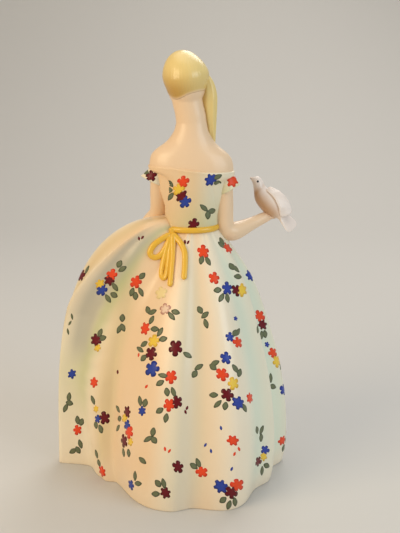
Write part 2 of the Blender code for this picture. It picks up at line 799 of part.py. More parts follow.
def main():
    clear_scene()
    make_collection("lady_figurine")
    make_collection("cutters")
    make_glazes()
    skirt = make_skirt()
    bodice = make_bodice()
    bust = make_bust()
    cap = make_hair_cap(bust)
    make_hair_tress(bust, cap)
    belt = make_belt(bodice, skirt)
    right_arm = make_arm("right_arm", 1, bust, bodice, skirt, belt)
    left_arm = make_arm("left_arm", -1, bust, bodice, skirt)
    make_sleeve("right_sleeve", 1, RIGHT_SLEEVE_HEIGHT, RIGHT_SLEEVE_HEM_RADIUS, bust, bodice, right_arm)
    make_sleeve("left_sleeve", -1, LEFT_SLEEVE_HEIGHT, LEFT_SLEEVE_HEM_RADIUS, bust, bodice, left_arm)
    perch = make_bird_perch()
    bird = make_bird_body(perch, right_arm)
    make_bird_wing("bird_left_wing", 1, perch, bird)
    make_bird_wing("bird_right_wing", -1, perch, bird)
    knot = make_knot(skirt, bodice, belt)
    laid = [skirt, knot]
    for name in BOW_STRIPS:
        laid.append(make_strip(name, *laid))


if __name__ == "__main__":
    main()
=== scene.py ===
# %% [markdown]
# # A ceramic lady with a dove
# The figurine is fired clay: a wide skirt, a bodice, a bust with a head, two arms, a dove and a ribbon of
# rolled clay, all glazed and then painted with small flowers. This lesson dresses the plain solids of the
# part. The solids give every place and size, so we load them first.

# %% Load the frame
import functools
import math

import bpy
from mathutils import Euler, Matrix, Vector
from mathutils.bvhtree import BVHTree


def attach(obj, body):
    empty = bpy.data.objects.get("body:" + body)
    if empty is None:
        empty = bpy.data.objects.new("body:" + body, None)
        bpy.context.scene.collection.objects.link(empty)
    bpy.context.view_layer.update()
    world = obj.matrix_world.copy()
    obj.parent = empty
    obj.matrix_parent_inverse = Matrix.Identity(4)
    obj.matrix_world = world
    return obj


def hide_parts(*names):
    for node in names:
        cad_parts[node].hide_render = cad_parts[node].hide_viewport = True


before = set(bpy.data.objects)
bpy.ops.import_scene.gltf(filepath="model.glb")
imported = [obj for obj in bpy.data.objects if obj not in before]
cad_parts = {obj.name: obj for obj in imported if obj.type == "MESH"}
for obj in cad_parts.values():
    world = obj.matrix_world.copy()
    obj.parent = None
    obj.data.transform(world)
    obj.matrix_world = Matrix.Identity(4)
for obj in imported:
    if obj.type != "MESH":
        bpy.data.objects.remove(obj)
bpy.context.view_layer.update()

MM = 0.001
print("nodes in the frame:", len(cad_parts))

# %% [markdown]
# ## Camera, floor and light
# The camera stands behind the lady, a little above her head, and looks down at her. It comes first, because
# the painted flowers are later placed by looking through it. The floor is a plain pale sheet. A real potter's
# shelf would be lit by a window and a lamp, so a warm soft lamp stands on the left and a cooler one on the
# right. Two more fill in from above and from the front. All are weak enough that a colour renders about as
# it is written.

# %% Camera
PHOTO_WIDTH, PHOTO_HEIGHT = 400, 533
CAMERA_PLACE = Vector((0.0156, -0.600, 0.305))
CAMERA_TILT = math.radians(90 - 15.2)
LENS, SENSOR = 64, 36

bpy.ops.object.select_all(action="DESELECT")
bpy.ops.object.camera_add(location=CAMERA_PLACE, rotation=(CAMERA_TILT, 0, 0))
camera = bpy.context.object
camera.data.lens = LENS
camera.data.sensor_width = SENSOR
camera.data.sensor_fit = "AUTO"
bpy.context.scene.camera = camera


def sight_line(pixel_x, pixel_y):
    """Direction from the camera through a pixel of the photograph."""
    focus = LENS / SENSOR * PHOTO_HEIGHT
    line = Vector((pixel_x - PHOTO_WIDTH / 2, PHOTO_HEIGHT / 2 - pixel_y, -focus))
    return (Matrix.Rotation(CAMERA_TILT, 3, "X") @ line).normalized()


print("camera looks along", tuple(round(x, 3) for x in sight_line(PHOTO_WIDTH / 2, PHOTO_HEIGHT / 2)))

# %% Floor
FLOOR_SIZE, BACKDROP_FRONT, BACKDROP_HEIGHT, BACKDROP_BEND = 4.0, 1.3, 1.6, 0.6
FLOOR_COLOUR, FLOOR_ROUGHNESS, BEND_STEPS = (0.59, 0.575, 0.55), 0.9, 16

bpy.ops.object.select_all(action="DESELECT")
bpy.ops.mesh.primitive_plane_add(size=FLOOR_SIZE, location=(0, BACKDROP_FRONT - FLOOR_SIZE / 2, 0))
floor = bpy.context.object
floor.name = "studio_floor"
bpy.ops.object.transform_apply(location=True)
bpy.ops.object.mode_set(mode="EDIT")
bpy.ops.mesh.select_mode(type="EDGE")
bpy.ops.mesh.select_all(action="DESELECT")
bpy.ops.object.mode_set(mode="OBJECT")
for edge in floor.data.edges:
    edge.select = all(floor.data.vertices[v].co.y > BACKDROP_FRONT - MM for v in edge.vertices)
bpy.ops.object.mode_set(mode="EDIT")
bpy.ops.mesh.extrude_region_move(TRANSFORM_OT_translate={"value": (0, 0, BACKDROP_HEIGHT)})
bpy.ops.mesh.select_mode(type="VERT")
bpy.ops.object.mode_set(mode="OBJECT")
bend = floor.modifiers.new("bend", "BEVEL")
bend.width, bend.segments, bend.limit_method = BACKDROP_BEND, BEND_STEPS, "ANGLE"
bpy.ops.object.modifier_apply(modifier="bend")
bpy.ops.object.shade_smooth()
paper = bpy.data.materials.new("studio_paper")
paper.use_nodes = True
paper_look = paper.node_tree.nodes["Principled BSDF"].inputs
paper_look["Base Color"].default_value = (*FLOOR_COLOUR, 1)
paper_look["Roughness"].default_value = FLOOR_ROUGHNESS
floor.data.materials.append(paper)
print("floor", FLOOR_SIZE, "m, with", len(floor.data.polygons), "faces")

# %% Lamps
# Each lamp: place, size, power and colour
LAMPS = {
    "window_left": ((-0.75, -0.55, 0.55), 0.60, 5.9, (1.0, 0.80, 0.52)),
    "fill_right": ((0.85, -0.60, 0.55), 0.70, 4.9, (0.78, 0.91, 1.0)),
    "top_soft": ((0.0, 0.15, 1.05), 0.90, 3.0, (1.0, 0.96, 0.90)),
    "front_soft": ((0.30, 0.90, 0.95), 0.70, 5.0, (1.0, 0.97, 0.93)),
}
LAMP_AIM = Vector((0, 0, 0.14))
SKY_COLOUR, SKY_STRENGTH = (1.0, 0.96, 0.91), 0.34

for name, (place, size, power, colour) in LAMPS.items():
    turn = (LAMP_AIM - Vector(place)).to_track_quat("-Z", "Y").to_euler()
    bpy.ops.object.light_add(type="AREA", location=place, rotation=turn)
    lamp = bpy.context.object
    lamp.name = name
    lamp.data.size = size
    lamp.data.energy = power
    lamp.data.color = colour
world = bpy.context.scene.world or bpy.data.worlds.new("studio")
bpy.context.scene.world = world
world.use_nodes = True
sky = world.node_tree.nodes["Background"].inputs
sky["Color"].default_value = (*SKY_COLOUR, 1)
sky["Strength"].default_value = SKY_STRENGTH
bpy.context.scene.view_settings.view_transform = "Standard"
print("lamps:", ", ".join(LAMPS))

# %% [markdown]
# ## Glazes
# Glaze is a thin layer of glass over tinted clay. It could be one flat colour, but a real glaze pools, thins
# over edges and has a slightly wavy skin. So each finish mixes two close colours with a slow noise, lets a
# finer noise change the roughness, and lifts the skin a little with a bump. A clear coat gives the wet
# highlight. A named attribute on the mesh says where a second tint was sprayed on, or where light or shade is
# painted in.

# %% A helper for every glaze
TONE_SCALE, TONE_DETAIL, SKIN_SCALE, SKIN_DETAIL = 55, 3, 420, 2
ROUGH_LOW, ROUGH_HIGH = 0.24, 0.38
COAT_WEIGHT, COAT_ROUGHNESS, SHINE = 0.25, 0.14, 0.5
BUMP_STRENGTH, BUMP_REACH = 0.10, 0.0004


def make_glaze(name, colour, thin_colour, tint_pairs=(), coat=COAT_WEIGHT, shine=SHINE):
    """A glossy glaze. Each pair in tint_pairs is an attribute and the colour that it brings in: a sprayed
    tint, or painted light or shade.
    """
    glaze = bpy.data.materials.new(name)
    glaze.use_nodes = True
    nodes, links = glaze.node_tree.nodes, glaze.node_tree.links
    shader = nodes["Principled BSDF"]
    place = nodes.new("ShaderNodeTexCoord")

    def noise(scale, detail):
        made = nodes.new("ShaderNodeTexNoise")
        made.inputs["Scale"].default_value = scale
        made.inputs["Detail"].default_value = detail
        links.new(place.outputs["Object"], made.inputs["Vector"])
        return made.outputs["Fac"]

    def mixed(amount, low, high):
        made = nodes.new("ShaderNodeMix")
        made.data_type = "RGBA"
        links.new(amount, made.inputs["Factor"])
        for socket, value in (("A", low), ("B", high)):
            socket = [s for s in made.inputs if s.name == socket and s.type == "RGBA"][0]
            if isinstance(value, tuple):
                socket.default_value = (*value, 1)
            else:
                links.new(value, socket)
        return [s for s in made.outputs if s.type == "RGBA"][0]

    tone = mixed(noise(TONE_SCALE, TONE_DETAIL), colour, thin_colour)
    for attribute, tint in tint_pairs:
        reader = nodes.new("ShaderNodeAttribute")
        reader.attribute_name = attribute
        tone = mixed(reader.outputs["Fac"], tone, tint)
    links.new(tone, shader.inputs["Base Color"])

    gloss = nodes.new("ShaderNodeMapRange")
    gloss.inputs["To Min"].default_value = ROUGH_LOW
    gloss.inputs["To Max"].default_value = ROUGH_HIGH
    links.new(noise(SKIN_SCALE, SKIN_DETAIL), gloss.inputs["Value"])
    links.new(gloss.outputs["Result"], shader.inputs["Roughness"])

    bump = nodes.new("ShaderNodeBump")
    bump.inputs["Strength"].default_value = BUMP_STRENGTH
    bump.inputs["Distance"].default_value = BUMP_REACH
    links.new(noise(SKIN_SCALE / 2, SKIN_DETAIL), bump.inputs["Height"])
    links.new(bump.outputs["Normal"], shader.inputs["Normal"])
    shader.inputs["Specular IOR Level"].default_value = shine
    shader.inputs["Coat Weight"].default_value = coat
    shader.inputs["Coat Roughness"].default_value = COAT_ROUGHNESS
    return glaze


# %% The glazes of this figurine
# Each glaze has its own colour and the colour where it runs thin
CREAM, CREAM_THIN = (0.90, 0.79, 0.61), (0.87, 0.75, 0.57)
SPRAYED_GREEN, SPRAYED_MINT = (0.50, 0.53, 0.26), (0.64, 0.76, 0.62)
# Painted warm lamp light, mixed into the dress's colour
PAINTED_WARM_LIGHT = (0.86, 0.60, 0.36)
# Painted shade, mixed into the dress's colour
PAINTED_SHADE = (0.45, 0.43, 0.35)
DRESS_TINTS_AND_LIGHT = (
    ("painted_warm_light", PAINTED_WARM_LIGHT), ("green", SPRAYED_GREEN), ("mint", SPRAYED_MINT), ("painted_shade", PAINTED_SHADE),
)
FLESH, FLESH_THIN = (0.87, 0.64, 0.42), (0.84, 0.61, 0.40)
BLUSH = (0.80, 0.36, 0.28)
STRAW, STRAW_THIN = (0.86, 0.66, 0.27), (0.82, 0.61, 0.23)
# Ochre of the hair, which is partly painted shade low on it
OCHRE_AND_SHADE = (0.50, 0.28, 0.04)
GOLD, GOLD_THIN = (0.83, 0.49, 0.045), (0.80, 0.45, 0.03)
DRESS_COAT, DRESS_SHINE = 0.14, 0.36
BIRD_WHITE, BIRD_THIN = (0.88, 0.77, 0.69), (0.85, 0.73, 0.65)
# Tan of the beak, also laid on as painted shade under the breast
BIRD_TAN_AND_SHADE = (0.56, 0.32, 0.16)

dress_glaze = make_glaze("dress_glaze", CREAM, CREAM_THIN, DRESS_TINTS_AND_LIGHT, DRESS_COAT, DRESS_SHINE)
skin_glaze = make_glaze("skin_glaze", FLESH, FLESH_THIN, (("blush", BLUSH),), DRESS_COAT, DRESS_SHINE)
hair_glaze = make_glaze("hair_glaze", STRAW, STRAW_THIN, (("ochre_and_shade", OCHRE_AND_SHADE), ("flesh", FLESH)))
ribbon_glaze = make_glaze("ribbon_glaze", GOLD, GOLD_THIN)
bird_glaze = make_glaze("bird_glaze", BIRD_WHITE, BIRD_THIN, (("tan_and_shade", BIRD_TAN_AND_SHADE),))
print("glazes:", ", ".join(m.name for m in bpy.data.materials if m.name.endswith("_glaze")))

# %% [markdown]
# ## Pulling a wall
# Most pieces of a figurine are walls that run round an upright line. In Blender we can make one as a potter
# does: a ring of points is added, and in edit mode it is extruded upwards row by row. The ring is plain at
# first, so afterwards each point is moved to its place, which depends only on its angle and its row. The
# first and last rows are either bridged to each other, or each shrinks to a point, where merging doubles
# closes the wall.

# %% Helpers for walls
MERGE_REACH = 1e-6


def only(piece):
    """Selects this piece and nothing else."""
    bpy.ops.object.select_all(action="DESELECT")
    piece.select_set(True)
    bpy.context.view_layer.objects.active = piece


def pull_wall(name, sides, rows):
    bpy.ops.object.select_all(action="DESELECT")
    bpy.ops.mesh.primitive_circle_add(vertices=sides, radius=1, location=(0, 0, 0))
    piece = bpy.context.object
    piece.name = piece.data.name = name
    bpy.ops.object.mode_set(mode="EDIT")
    bpy.ops.mesh.select_all(action="SELECT")
    for row in range(rows):
        bpy.ops.mesh.extrude_region_move(TRANSFORM_OT_translate={"value": (0, 0, 1)})
    bpy.ops.object.mode_set(mode="OBJECT")
    return piece


def close_ring(piece):
    """Bridges the first row of a pulled wall to the last."""
    only(piece)
    bpy.ops.object.mode_set(mode="EDIT")
    bpy.ops.mesh.select_all(action="DESELECT")
    bpy.ops.mesh.select_non_manifold()
    bpy.ops.mesh.bridge_edge_loops()
    bpy.ops.object.mode_set(mode="OBJECT")


def close_wall(piece):
    only(piece)
    bpy.ops.object.mode_set(mode="EDIT")
    bpy.ops.mesh.select_all(action="SELECT")
    bpy.ops.mesh.remove_doubles(threshold=MERGE_REACH)
    bpy.ops.mesh.normals_make_consistent(inside=False)
    bpy.ops.object.mode_set(mode="OBJECT")
    bpy.ops.object.shade_smooth()


def shape_wall(piece, place_at):
    """Moves each point of a pulled wall to its place, then closes the wall."""
    for vertex in piece.data.vertices:
        angle = math.degrees(math.atan2(vertex.co.y, vertex.co.x)) % 360
        vertex.co = place_at(round(angle, 4), round(vertex.co.z))
    close_wall(piece)


def tint_points(piece, attribute, amount_at):
    """Writes how much of a tint lies on each point: a sprayed tint, or painted light or shade."""
    layer = piece.data.attributes.new(attribute, "FLOAT", "POINT")
    for vertex in piece.data.vertices:
        layer.data[vertex.index].value = min(1.0, max(0.0, amount_at(vertex.co)))


def dress_piece(piece, glaze, slot, *nodes):
    """Glazes a finished piece, parents it to the root, and hides the solids that it stands for."""
    piece.data.materials.clear()
    piece.data.materials.append(glaze)
    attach(piece, "root")
    if nodes:
        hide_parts(*nodes)
    size = [round(side / MM, 1) for side in piece.dimensions]
    print(piece.name, len(piece.data.polygons), "faces,", size, "mm")


# %% Small curves
def mix(low, high, share):
    return low + (high - low) * share


def ease(share):
    share = min(1.0, max(0.0, share))
    return share * share * (3 - 2 * share)


def hill(distance, spread):
    return math.exp(-0.5 * (distance / spread) ** 2)


def turn_from(angle, centre):
    return (angle - centre + 180) % 360 - 180


def oval(angle, half_width, back_depth, front_depth):
    turn = math.radians(angle)
    depth = front_depth if math.sin(turn) > 0 else back_depth
    return 1 / math.hypot(math.cos(turn) / half_width, math.sin(turn) / depth)


def at_polar(centre_x, centre_y, angle, radius, height):
    turn = math.radians(angle)
    return Vector((centre_x + radius * math.cos(turn), centre_y + radius * math.sin(turn), height))


# %% [markdown]
# ## Skirt
# The skirt is a bell with hand-pulled folds, and on the lady's left it is gathered up into a drape that her
# hand holds out. A cloth simulation would give other folds each time a value changes, so the folds are
# written down instead: angles round the hem, and how far each ridge or valley stands out. The sizes keep
# close to those of the solid. On top come fine things that only a close look shows: small gathers under
# the belt, the crest that runs down the edge of the drape, and faint puckers beside it.

# %% Sizes of the skirt
WAIST_HEIGHT, WAIST_HALF_WIDTH, WAIST_HALF_DEPTH = 167.2 * MM, 17.2 * MM, 13.5 * MM
TORSO_OFFSET, HEM_OFFSET = 10.2 * MM, 2.0 * MM
HEM_RADIUS, BELL_POWER = 65.8 * MM, 2.2
HEM_TUCK, HEM_TUCK_HEIGHT, SKIRT_WALL = 2.4 * MM, 9.0 * MM, 3.6 * MM
# Angle of each ridge or valley of the hem, and its share of the hem's radius
HEM_FOLDS = (
    (6, 1.12), (20, 1.03), (36, 1.09), (50, 1.00), (66, 1.07), (79, 0.98), (94, 1.055), (108, 0.97),
    (124, 1.05), (138, 0.96), (154, 1.02), (168, 0.92), (180, 0.92), (193, 0.905), (206, 0.88),
    (214, 0.80), (266, 1.04), (277, 0.985), (299, 1.125), (325, 0.975), (338, 1.02), (350, 0.95),
)
DRAPE_ANGLE, DRAPE_REACH, DRAPE_BELLY, DRAPE_RISE = 178, 67.3 * MM, 2.0 * MM, 8.0 * MM
DRAPE_TOP_POWER, DRAPE_SIDE_POWER = 3.9, 2.2
DRAPE_RISE_BACK, DRAPE_RISE_FRONT = (224, 196), (130, 156)
DRAPE_BACK_SPREAD, DRAPE_FRONT_SPREAD, DRAPE_SPREAD_POWER = (10, 27), (18, 16), 2.6
EDGE_LOW, EDGE_TURN, EDGE_START, EDGE_POWER, EDGE_FOOT = 179.5, 25.2, 0.62, 1.2, 1.8
EDGE_LEDGE_LOW, EDGE_LEDGE_HIGH, EDGE_LEDGE_RISE, EDGE_LEDGE_SPREAD = 0.12, 0.49, 0.4, 14
DRAPE_SOLID_TIP = 8.0 * MM
CREASE_DROP, CREASE_SPREAD, CREASE_DEPTH = 14, 7, 2.2 * MM
FOLD_DRIFT, FOLD_DRIFT_ANGLE, FOLD_DRIFT_SPREAD = 11, 206, 22
HIP_SWELL, HIP_ANGLE, HIP_TURN, HIP_SHARE, HIP_SPREAD = 2.8 * MM, 5, 38, 0.82, 0.11


# %% Outline of the skirt
def rim_height(angle):
    """The top edge climbs at the drape."""
    away = turn_from(angle, DRAPE_ANGLE)
    foot, crown = DRAPE_RISE_BACK if away > 0 else DRAPE_RISE_FRONT
    share = (abs(foot - DRAPE_ANGLE) - abs(away)) / abs(foot - crown)
    return WAIST_HEIGHT + DRAPE_RISE * ease(share)


def waist_radius(angle):
    return oval(angle, WAIST_HALF_WIDTH, WAIST_HALF_DEPTH, WAIST_HALF_DEPTH)


@functools.cache
def hem_radius(angle):
    folds = [*HEM_FOLDS, (HEM_FOLDS[0][0] + 360, HEM_FOLDS[0][1])]
    angle = angle % 360
    if angle < folds[0][0]:
        angle += 360
    for (start, share), (end, next_share) in zip(folds, folds[1:]):
        if start <= angle <= end:
            wave = (1 - math.cos(math.pi * (angle - start) / (end - start))) / 2
            return HEM_RADIUS * mix(share, next_share, wave)


def bell_radius(angle, height):
    share = height / rim_height(angle)
    drift = FOLD_DRIFT * math.sin(math.pi * share)
    drift *= hill(turn_from(angle, FOLD_DRIFT_ANGLE), FOLD_DRIFT_SPREAD)
    plain = mix(waist_radius(angle), hem_radius(angle + drift), 1 - share**BELL_POWER)
    return plain - HEM_TUCK * math.exp(-height / HEM_TUCK_HEIGHT) + hip(angle, height)


def hip(angle, height):
    share = height / rim_height(angle)
    return HIP_SWELL * hill(turn_from(angle, HIP_ANGLE), HIP_TURN) * hill(share - HIP_SHARE, HIP_SPREAD)


def drape_edge(share):
    """Angle of the edge that runs from the waist down the back of the drape."""
    return EDGE_LOW + EDGE_TURN * max(0.0, (share - EDGE_START) / (1 - EDGE_START)) ** EDGE_POWER


def drape_swell(angle, height):
    share = height / rim_height(angle)
    reach = DRAPE_REACH * max(0.0, 1 - share**DRAPE_TOP_POWER) ** (1 / DRAPE_SIDE_POWER)
    reach += DRAPE_BELLY * math.sin(math.pi * share)
    away = turn_from(angle, DRAPE_ANGLE)
    low, high = DRAPE_BACK_SPREAD if away > 0 else DRAPE_FRONT_SPREAD
    fall = hill(away, mix(low, high, share**DRAPE_SPREAD_POWER))
    if away > 0:
        past = turn_from(angle, drape_edge(share))
        before = math.exp(-max(0.0, past) / EDGE_FOOT)
        ledge = mix(EDGE_LEDGE_LOW, EDGE_LEDGE_HIGH, ease(share / EDGE_LEDGE_RISE))
        fall = mix(min(fall, ledge * hill(past, EDGE_LEDGE_SPREAD)), fall, before)
    beyond = WAIST_HALF_WIDTH + reach - bell_radius(angle, height)
    return max(0.0, beyond) * fall


def crease(angle, height):
    share = height / rim_height(angle)
    away = turn_from(angle, drape_edge(share) + CREASE_DROP)
    return CREASE_DEPTH * hill(away, CREASE_SPREAD) * math.sin(math.pi * share)


def skirt_axis(height):
    return mix(HEM_OFFSET, TORSO_OFFSET, min(1.0, height / WAIST_HEIGHT))


# %% Fine shapes of the skirt
GATHERS, GATHER_DEPTH, GATHER_REACH, GATHER_END, GATHER_SOFT = 31, 0.34 * MM, 9.0 * MM, 42, 20
# Slow waves round the waist that make the gathers uneven: how many, how strong, where they begin
UNEVEN_WAVES, UNEVEN_SHARE, UNEVEN_START = 7, 0.45, 0.8
CROWDING_WAVES = ((5, 2.2), (11, 1.3))
CREST_LIFT, CREST_SPREAD = 1.7 * MM, 0.9
CREST_LOW, CREST_FULL, CREST_TOP = 0.48, 0.74, 0.04
GUTTER_DEPTH, GUTTER_START, GUTTER_LEAST, GUTTER_NARROWING = 3.0 * MM, 176, 1.2, 3.6
PUCKER_DEPTH, PUCKER_PITCH, PUCKER_ANGLE, PUCKER_SPREAD = 0.5 * MM, 11.0 * MM, 190, 5
PUCKER_HEIGHT, PUCKER_REACH = 85.0 * MM, 26.0 * MM


def gathers(angle, height):
    """Small pleats under the belt, uneven as fingers make them."""
    drop = WAIST_HEIGHT - height
    beside_drape = ease((abs(turn_from(angle, DRAPE_ANGLE)) - GATHER_END) / GATHER_SOFT)
    turn = math.radians(angle)
    uneven = 1 - UNEVEN_SHARE + UNEVEN_SHARE * math.sin(UNEVEN_WAVES * turn + UNEVEN_START)
    crowding = sum(strength * math.sin(waves * turn) for waves, strength in CROWDING_WAVES)
    wave = math.cos(GATHERS * turn + crowding)
    return GATHER_DEPTH * uneven * wave * math.exp(-abs(drop) / GATHER_REACH) * beside_drape


def crest(angle, height):
    """The pinched edge of the drape, with a gutter between it and the outermost rim."""
    share = height / rim_height(angle)
    edge = drape_edge(share)
    shown = ease((share - CREST_LOW) / (CREST_FULL - CREST_LOW)) * ease((1 - share) / CREST_TOP)
    lift = CREST_LIFT * hill(turn_from(angle, edge), CREST_SPREAD)
    spread = max(GUTTER_LEAST, (edge - GUTTER_START) / GUTTER_NARROWING)
    gutter = hill(turn_from(angle, (GUTTER_START + edge) / 2), spread)
    return shown * (lift - GUTTER_DEPTH * gutter)


def puckers(angle, height):
    wave = PUCKER_DEPTH * math.sin(2 * math.pi * height / PUCKER_PITCH)
    beside = hill(turn_from(angle, PUCKER_ANGLE), PUCKER_SPREAD)
    return wave * beside * hill(height - PUCKER_HEIGHT, PUCKER_REACH)


def skirt_radius(angle, height):
    plain = bell_radius(angle, height) + drape_swell(angle, height) - crease(angle, height)
    return plain + gathers(angle, height) + crest(angle, height) + puckers(angle, height)


def skirt_inside(angle, height):
    swell = max(0.0, drape_swell(angle, height) - DRAPE_SOLID_TIP)
    return bell_radius(angle, height) + swell - crease(angle, height) - SKIRT_WALL


# %% Pull the skirt
SKIRT_SIDES, OUTSIDE_ROWS, FOOT_ROWS, INSIDE_ROWS = 480, 120, 8, 24
FOOT_ROUND, FOOT_FLAT = 1.0 * MM, 0.5
DENSE_ANGLE, DENSE_PULL = 192, 38


def skirt_place(angle, row):
    """Down the outside, round the foot, and up the inside to the rim. The points crowd at the drape."""
    angle = (angle - DENSE_PULL * math.sin(math.radians(angle - DENSE_ANGLE))) % 360
    rim = rim_height(angle)
    if row <= OUTSIDE_ROWS:
        height = mix(rim, FOOT_ROUND, (row / OUTSIDE_ROWS) ** 2)
        radius = skirt_radius(angle, height)
    elif row <= OUTSIDE_ROWS + FOOT_ROWS:
        turn = math.pi * (row - OUTSIDE_ROWS) / FOOT_ROWS
        outer, inner = skirt_radius(angle, FOOT_ROUND), skirt_inside(angle, FOOT_ROUND)
        flat = math.copysign(abs(math.cos(turn)) ** FOOT_FLAT, math.cos(turn))
        radius = mix(inner, outer, (1 + flat) / 2)
        height = FOOT_ROUND * (1 - math.sin(turn) ** FOOT_FLAT)
    else:
        share = (row - OUTSIDE_ROWS - FOOT_ROWS) / INSIDE_ROWS
        height = mix(FOOT_ROUND, rim, 1 - (1 - share) ** 2)
        radius = skirt_inside(angle, height)
    return at_polar(skirt_axis(height), 0, angle, radius, height)


skirt = pull_wall("skirt_cloth", SKIRT_SIDES, OUTSIDE_ROWS + FOOT_ROWS + INSIDE_ROWS)
close_ring(skirt)
shape_wall(skirt, skirt_place)

# %% [markdown]
# The maker sprayed a soft green into the valleys of the skirt, which makes the folds look deeper than they
# are.
# The valleys on the lady's right and in front are a cooler mint. Light and shade are painted in as well: warm
# lamp light over the back of her left side, on the ridges and in the gutter of the drape, and a grey painted
# shade behind the edge of the drape and in two valleys. A painted picture could hold this, but an attribute
# on the points is enough, because none of it has a sharp edge. It is worked out from the angle and the
# height.

# %% Spray the skirt, and paint light and shade on it
# Angle of each band of sprayed tint, painted warm light or painted shade, how far it spreads and how strong
# it is
VALLEYS = {202: (5, 0.30), 268: (5, 0.15), 279: (4, 0.15)}
MINT_VALLEYS = {
    322: (8, 0.65), 352: (9, 0.70), **dict.fromkeys((20, 50, 79, 108, 138), (6, 0.5)), 166: (7, 0.5),
}
# Painted warm light on the ridges
RIDGES = {284: (6, 0.5), **dict.fromkeys((36, 66, 94, 124), (7, 0.4))}
# Painted shade in two valleys on the back
SHADE_BANDS = {269: (4, 0.16), 278: (3, 0.14)}
# Painted warm lamp light over the back of the lady's left side, weaker near the hem
WARM_FROM, WARM_TO, WARM_SOFT, WARM_MOST = 186, 266, 17, 0.80
WARM_RISE, WARM_LOW = 30.0 * MM, 0.5
# Shares of the height where a spray begins, ends and fades
SPRAY_FOOT, GREEN_TOP, GREEN_TOP_SOFT, MINT_TOP, MINT_TOP_SOFT = 0.12, 1.02, 0.25, 1.05, 0.2
EDGE_SPRAY_LOW, EDGE_SPRAY_SOFT = 0.1, 0.3
# The gutter of the drape gets painted warm light and some green
GUTTER_WARM_LIGHT, GUTTER_GREEN, GUTTER_SPREAD, GUTTER_LOW, GUTTER_SOFT = 1.0, 0.28, 0.5, 0.48, 0.15
EDGE_GREEN, EDGE_GREEN_LOW, EDGE_GREEN_HIGH, EDGE_GREEN_SPREAD = 0.70, 5, 10.5, 3.6
EDGE_GREEN_START, EDGE_GREEN_SOFT = 0.40, 0.35
# Painted shade behind the drape's edge, low and high on the drape: how far from its edge the grey reaches,
# and how softly it ends
EDGE_SHADE, EDGE_SHADE_ONSET, EDGE_SHADE_LOW, EDGE_SHADE_HIGH = 0.78, 1.6, (3.0, 2.2), (7.5, 3.6)
EDGE_SHADE_START, EDGE_SHADE_FULL, EDGE_SHADE_WIDE, EDGE_SHADE_END = 0.38, 0.54, 0.90, 0.08


def skirt_angle(point):
    return math.degrees(math.atan2(point.y, point.x - skirt_axis(point.z)))


def drape_share(point):
    return point.z / rim_height(DRAPE_ANGLE)


def banded_at(bands, point):
    angle = skirt_angle(point)
    return sum(most * hill(turn_from(angle, middle), spread) for middle, (spread, most) in bands.items())


def past_edge(point, away, spread):
    """A band that runs beside the drape's edge."""
    share = drape_share(point)
    band = hill(turn_from(skirt_angle(point), drape_edge(share) + away), spread)
    return band * ease((share - EDGE_SPRAY_LOW) / EDGE_SPRAY_SOFT)


def gutter_at(point):
    share = drape_share(point)
    middle = (GUTTER_START - drape_edge(share)) / 2
    band = past_edge(point, middle, max(GUTTER_LEAST, -GUTTER_SPREAD * middle))
    return band * ease((share - GUTTER_LOW) / GUTTER_SOFT)


def green_at(point):
    share = point.z / WAIST_HEIGHT
    bands = banded_at(VALLEYS, point) * ease(share / SPRAY_FOOT) * ease((GREEN_TOP - share) / GREEN_TOP_SOFT)
    away = mix(EDGE_GREEN_LOW, EDGE_GREEN_HIGH, ease((share - EDGE_GREEN_START) / EDGE_GREEN_SOFT))
    beside = EDGE_GREEN * past_edge(point, away, EDGE_GREEN_SPREAD) + GUTTER_GREEN * gutter_at(point)
    return bands + beside


def mint_at(point):
    share = point.z / WAIST_HEIGHT
    bands = banded_at(MINT_VALLEYS, point)
    return bands * ease(share / SPRAY_FOOT) * ease((MINT_TOP - share) / MINT_TOP_SOFT)


# Painted warm light: over the back of the left side, on the ridges and in the drape's gutter
def painted_warm_light_at(point):
    angle = skirt_angle(point) % 360
    warm = WARM_MOST * ease((angle - WARM_FROM) / WARM_SOFT) * ease((WARM_TO - angle) / WARM_SOFT)
    warm *= mix(WARM_LOW, 1.0, ease(point.z / WARM_RISE))
    return warm + banded_at(RIDGES, point) + GUTTER_WARM_LIGHT * gutter_at(point)


# Painted shade: a grey band behind the edge of the drape, and two shaded valleys
def painted_shade_at(point):
    share = drape_share(point)
    high = ease((share - EDGE_SHADE_FULL) / (EDGE_SHADE_WIDE - EDGE_SHADE_FULL))
    reach, spread = (mix(low, top, high) for low, top in zip(EDGE_SHADE_LOW, EDGE_SHADE_HIGH))
    past = turn_from(skirt_angle(point), drape_edge(share))
    flank = ease(past / EDGE_SHADE_ONSET) * hill(max(0.0, past - reach), spread)
    shown = ease((share - EDGE_SHADE_START) / (EDGE_SHADE_FULL - EDGE_SHADE_START))
    shown *= ease((1 - share) / EDGE_SHADE_END)
    return EDGE_SHADE * shown * flank + banded_at(SHADE_BANDS, point)


for tint, amount_at in {"green": green_at, "mint": mint_at, "painted_warm_light": painted_warm_light_at, "painted_shade": painted_shade_at}.items():
    tint_points(skirt, tint, amount_at)
dress_piece(skirt, dress_glaze, "dress", "skirt")

# %% [markdown]
# ## Bodice
# The bodice is a hollow cup that stands on the skirt's rim. At the top it widens into a band that runs round
# both shoulders. The neckline slopes a little with the shoulders, dips in front and ends in a soft rolled
# lip. It is pulled as a wall again. Its foot starts just inside the skirt, so that no light falls through.

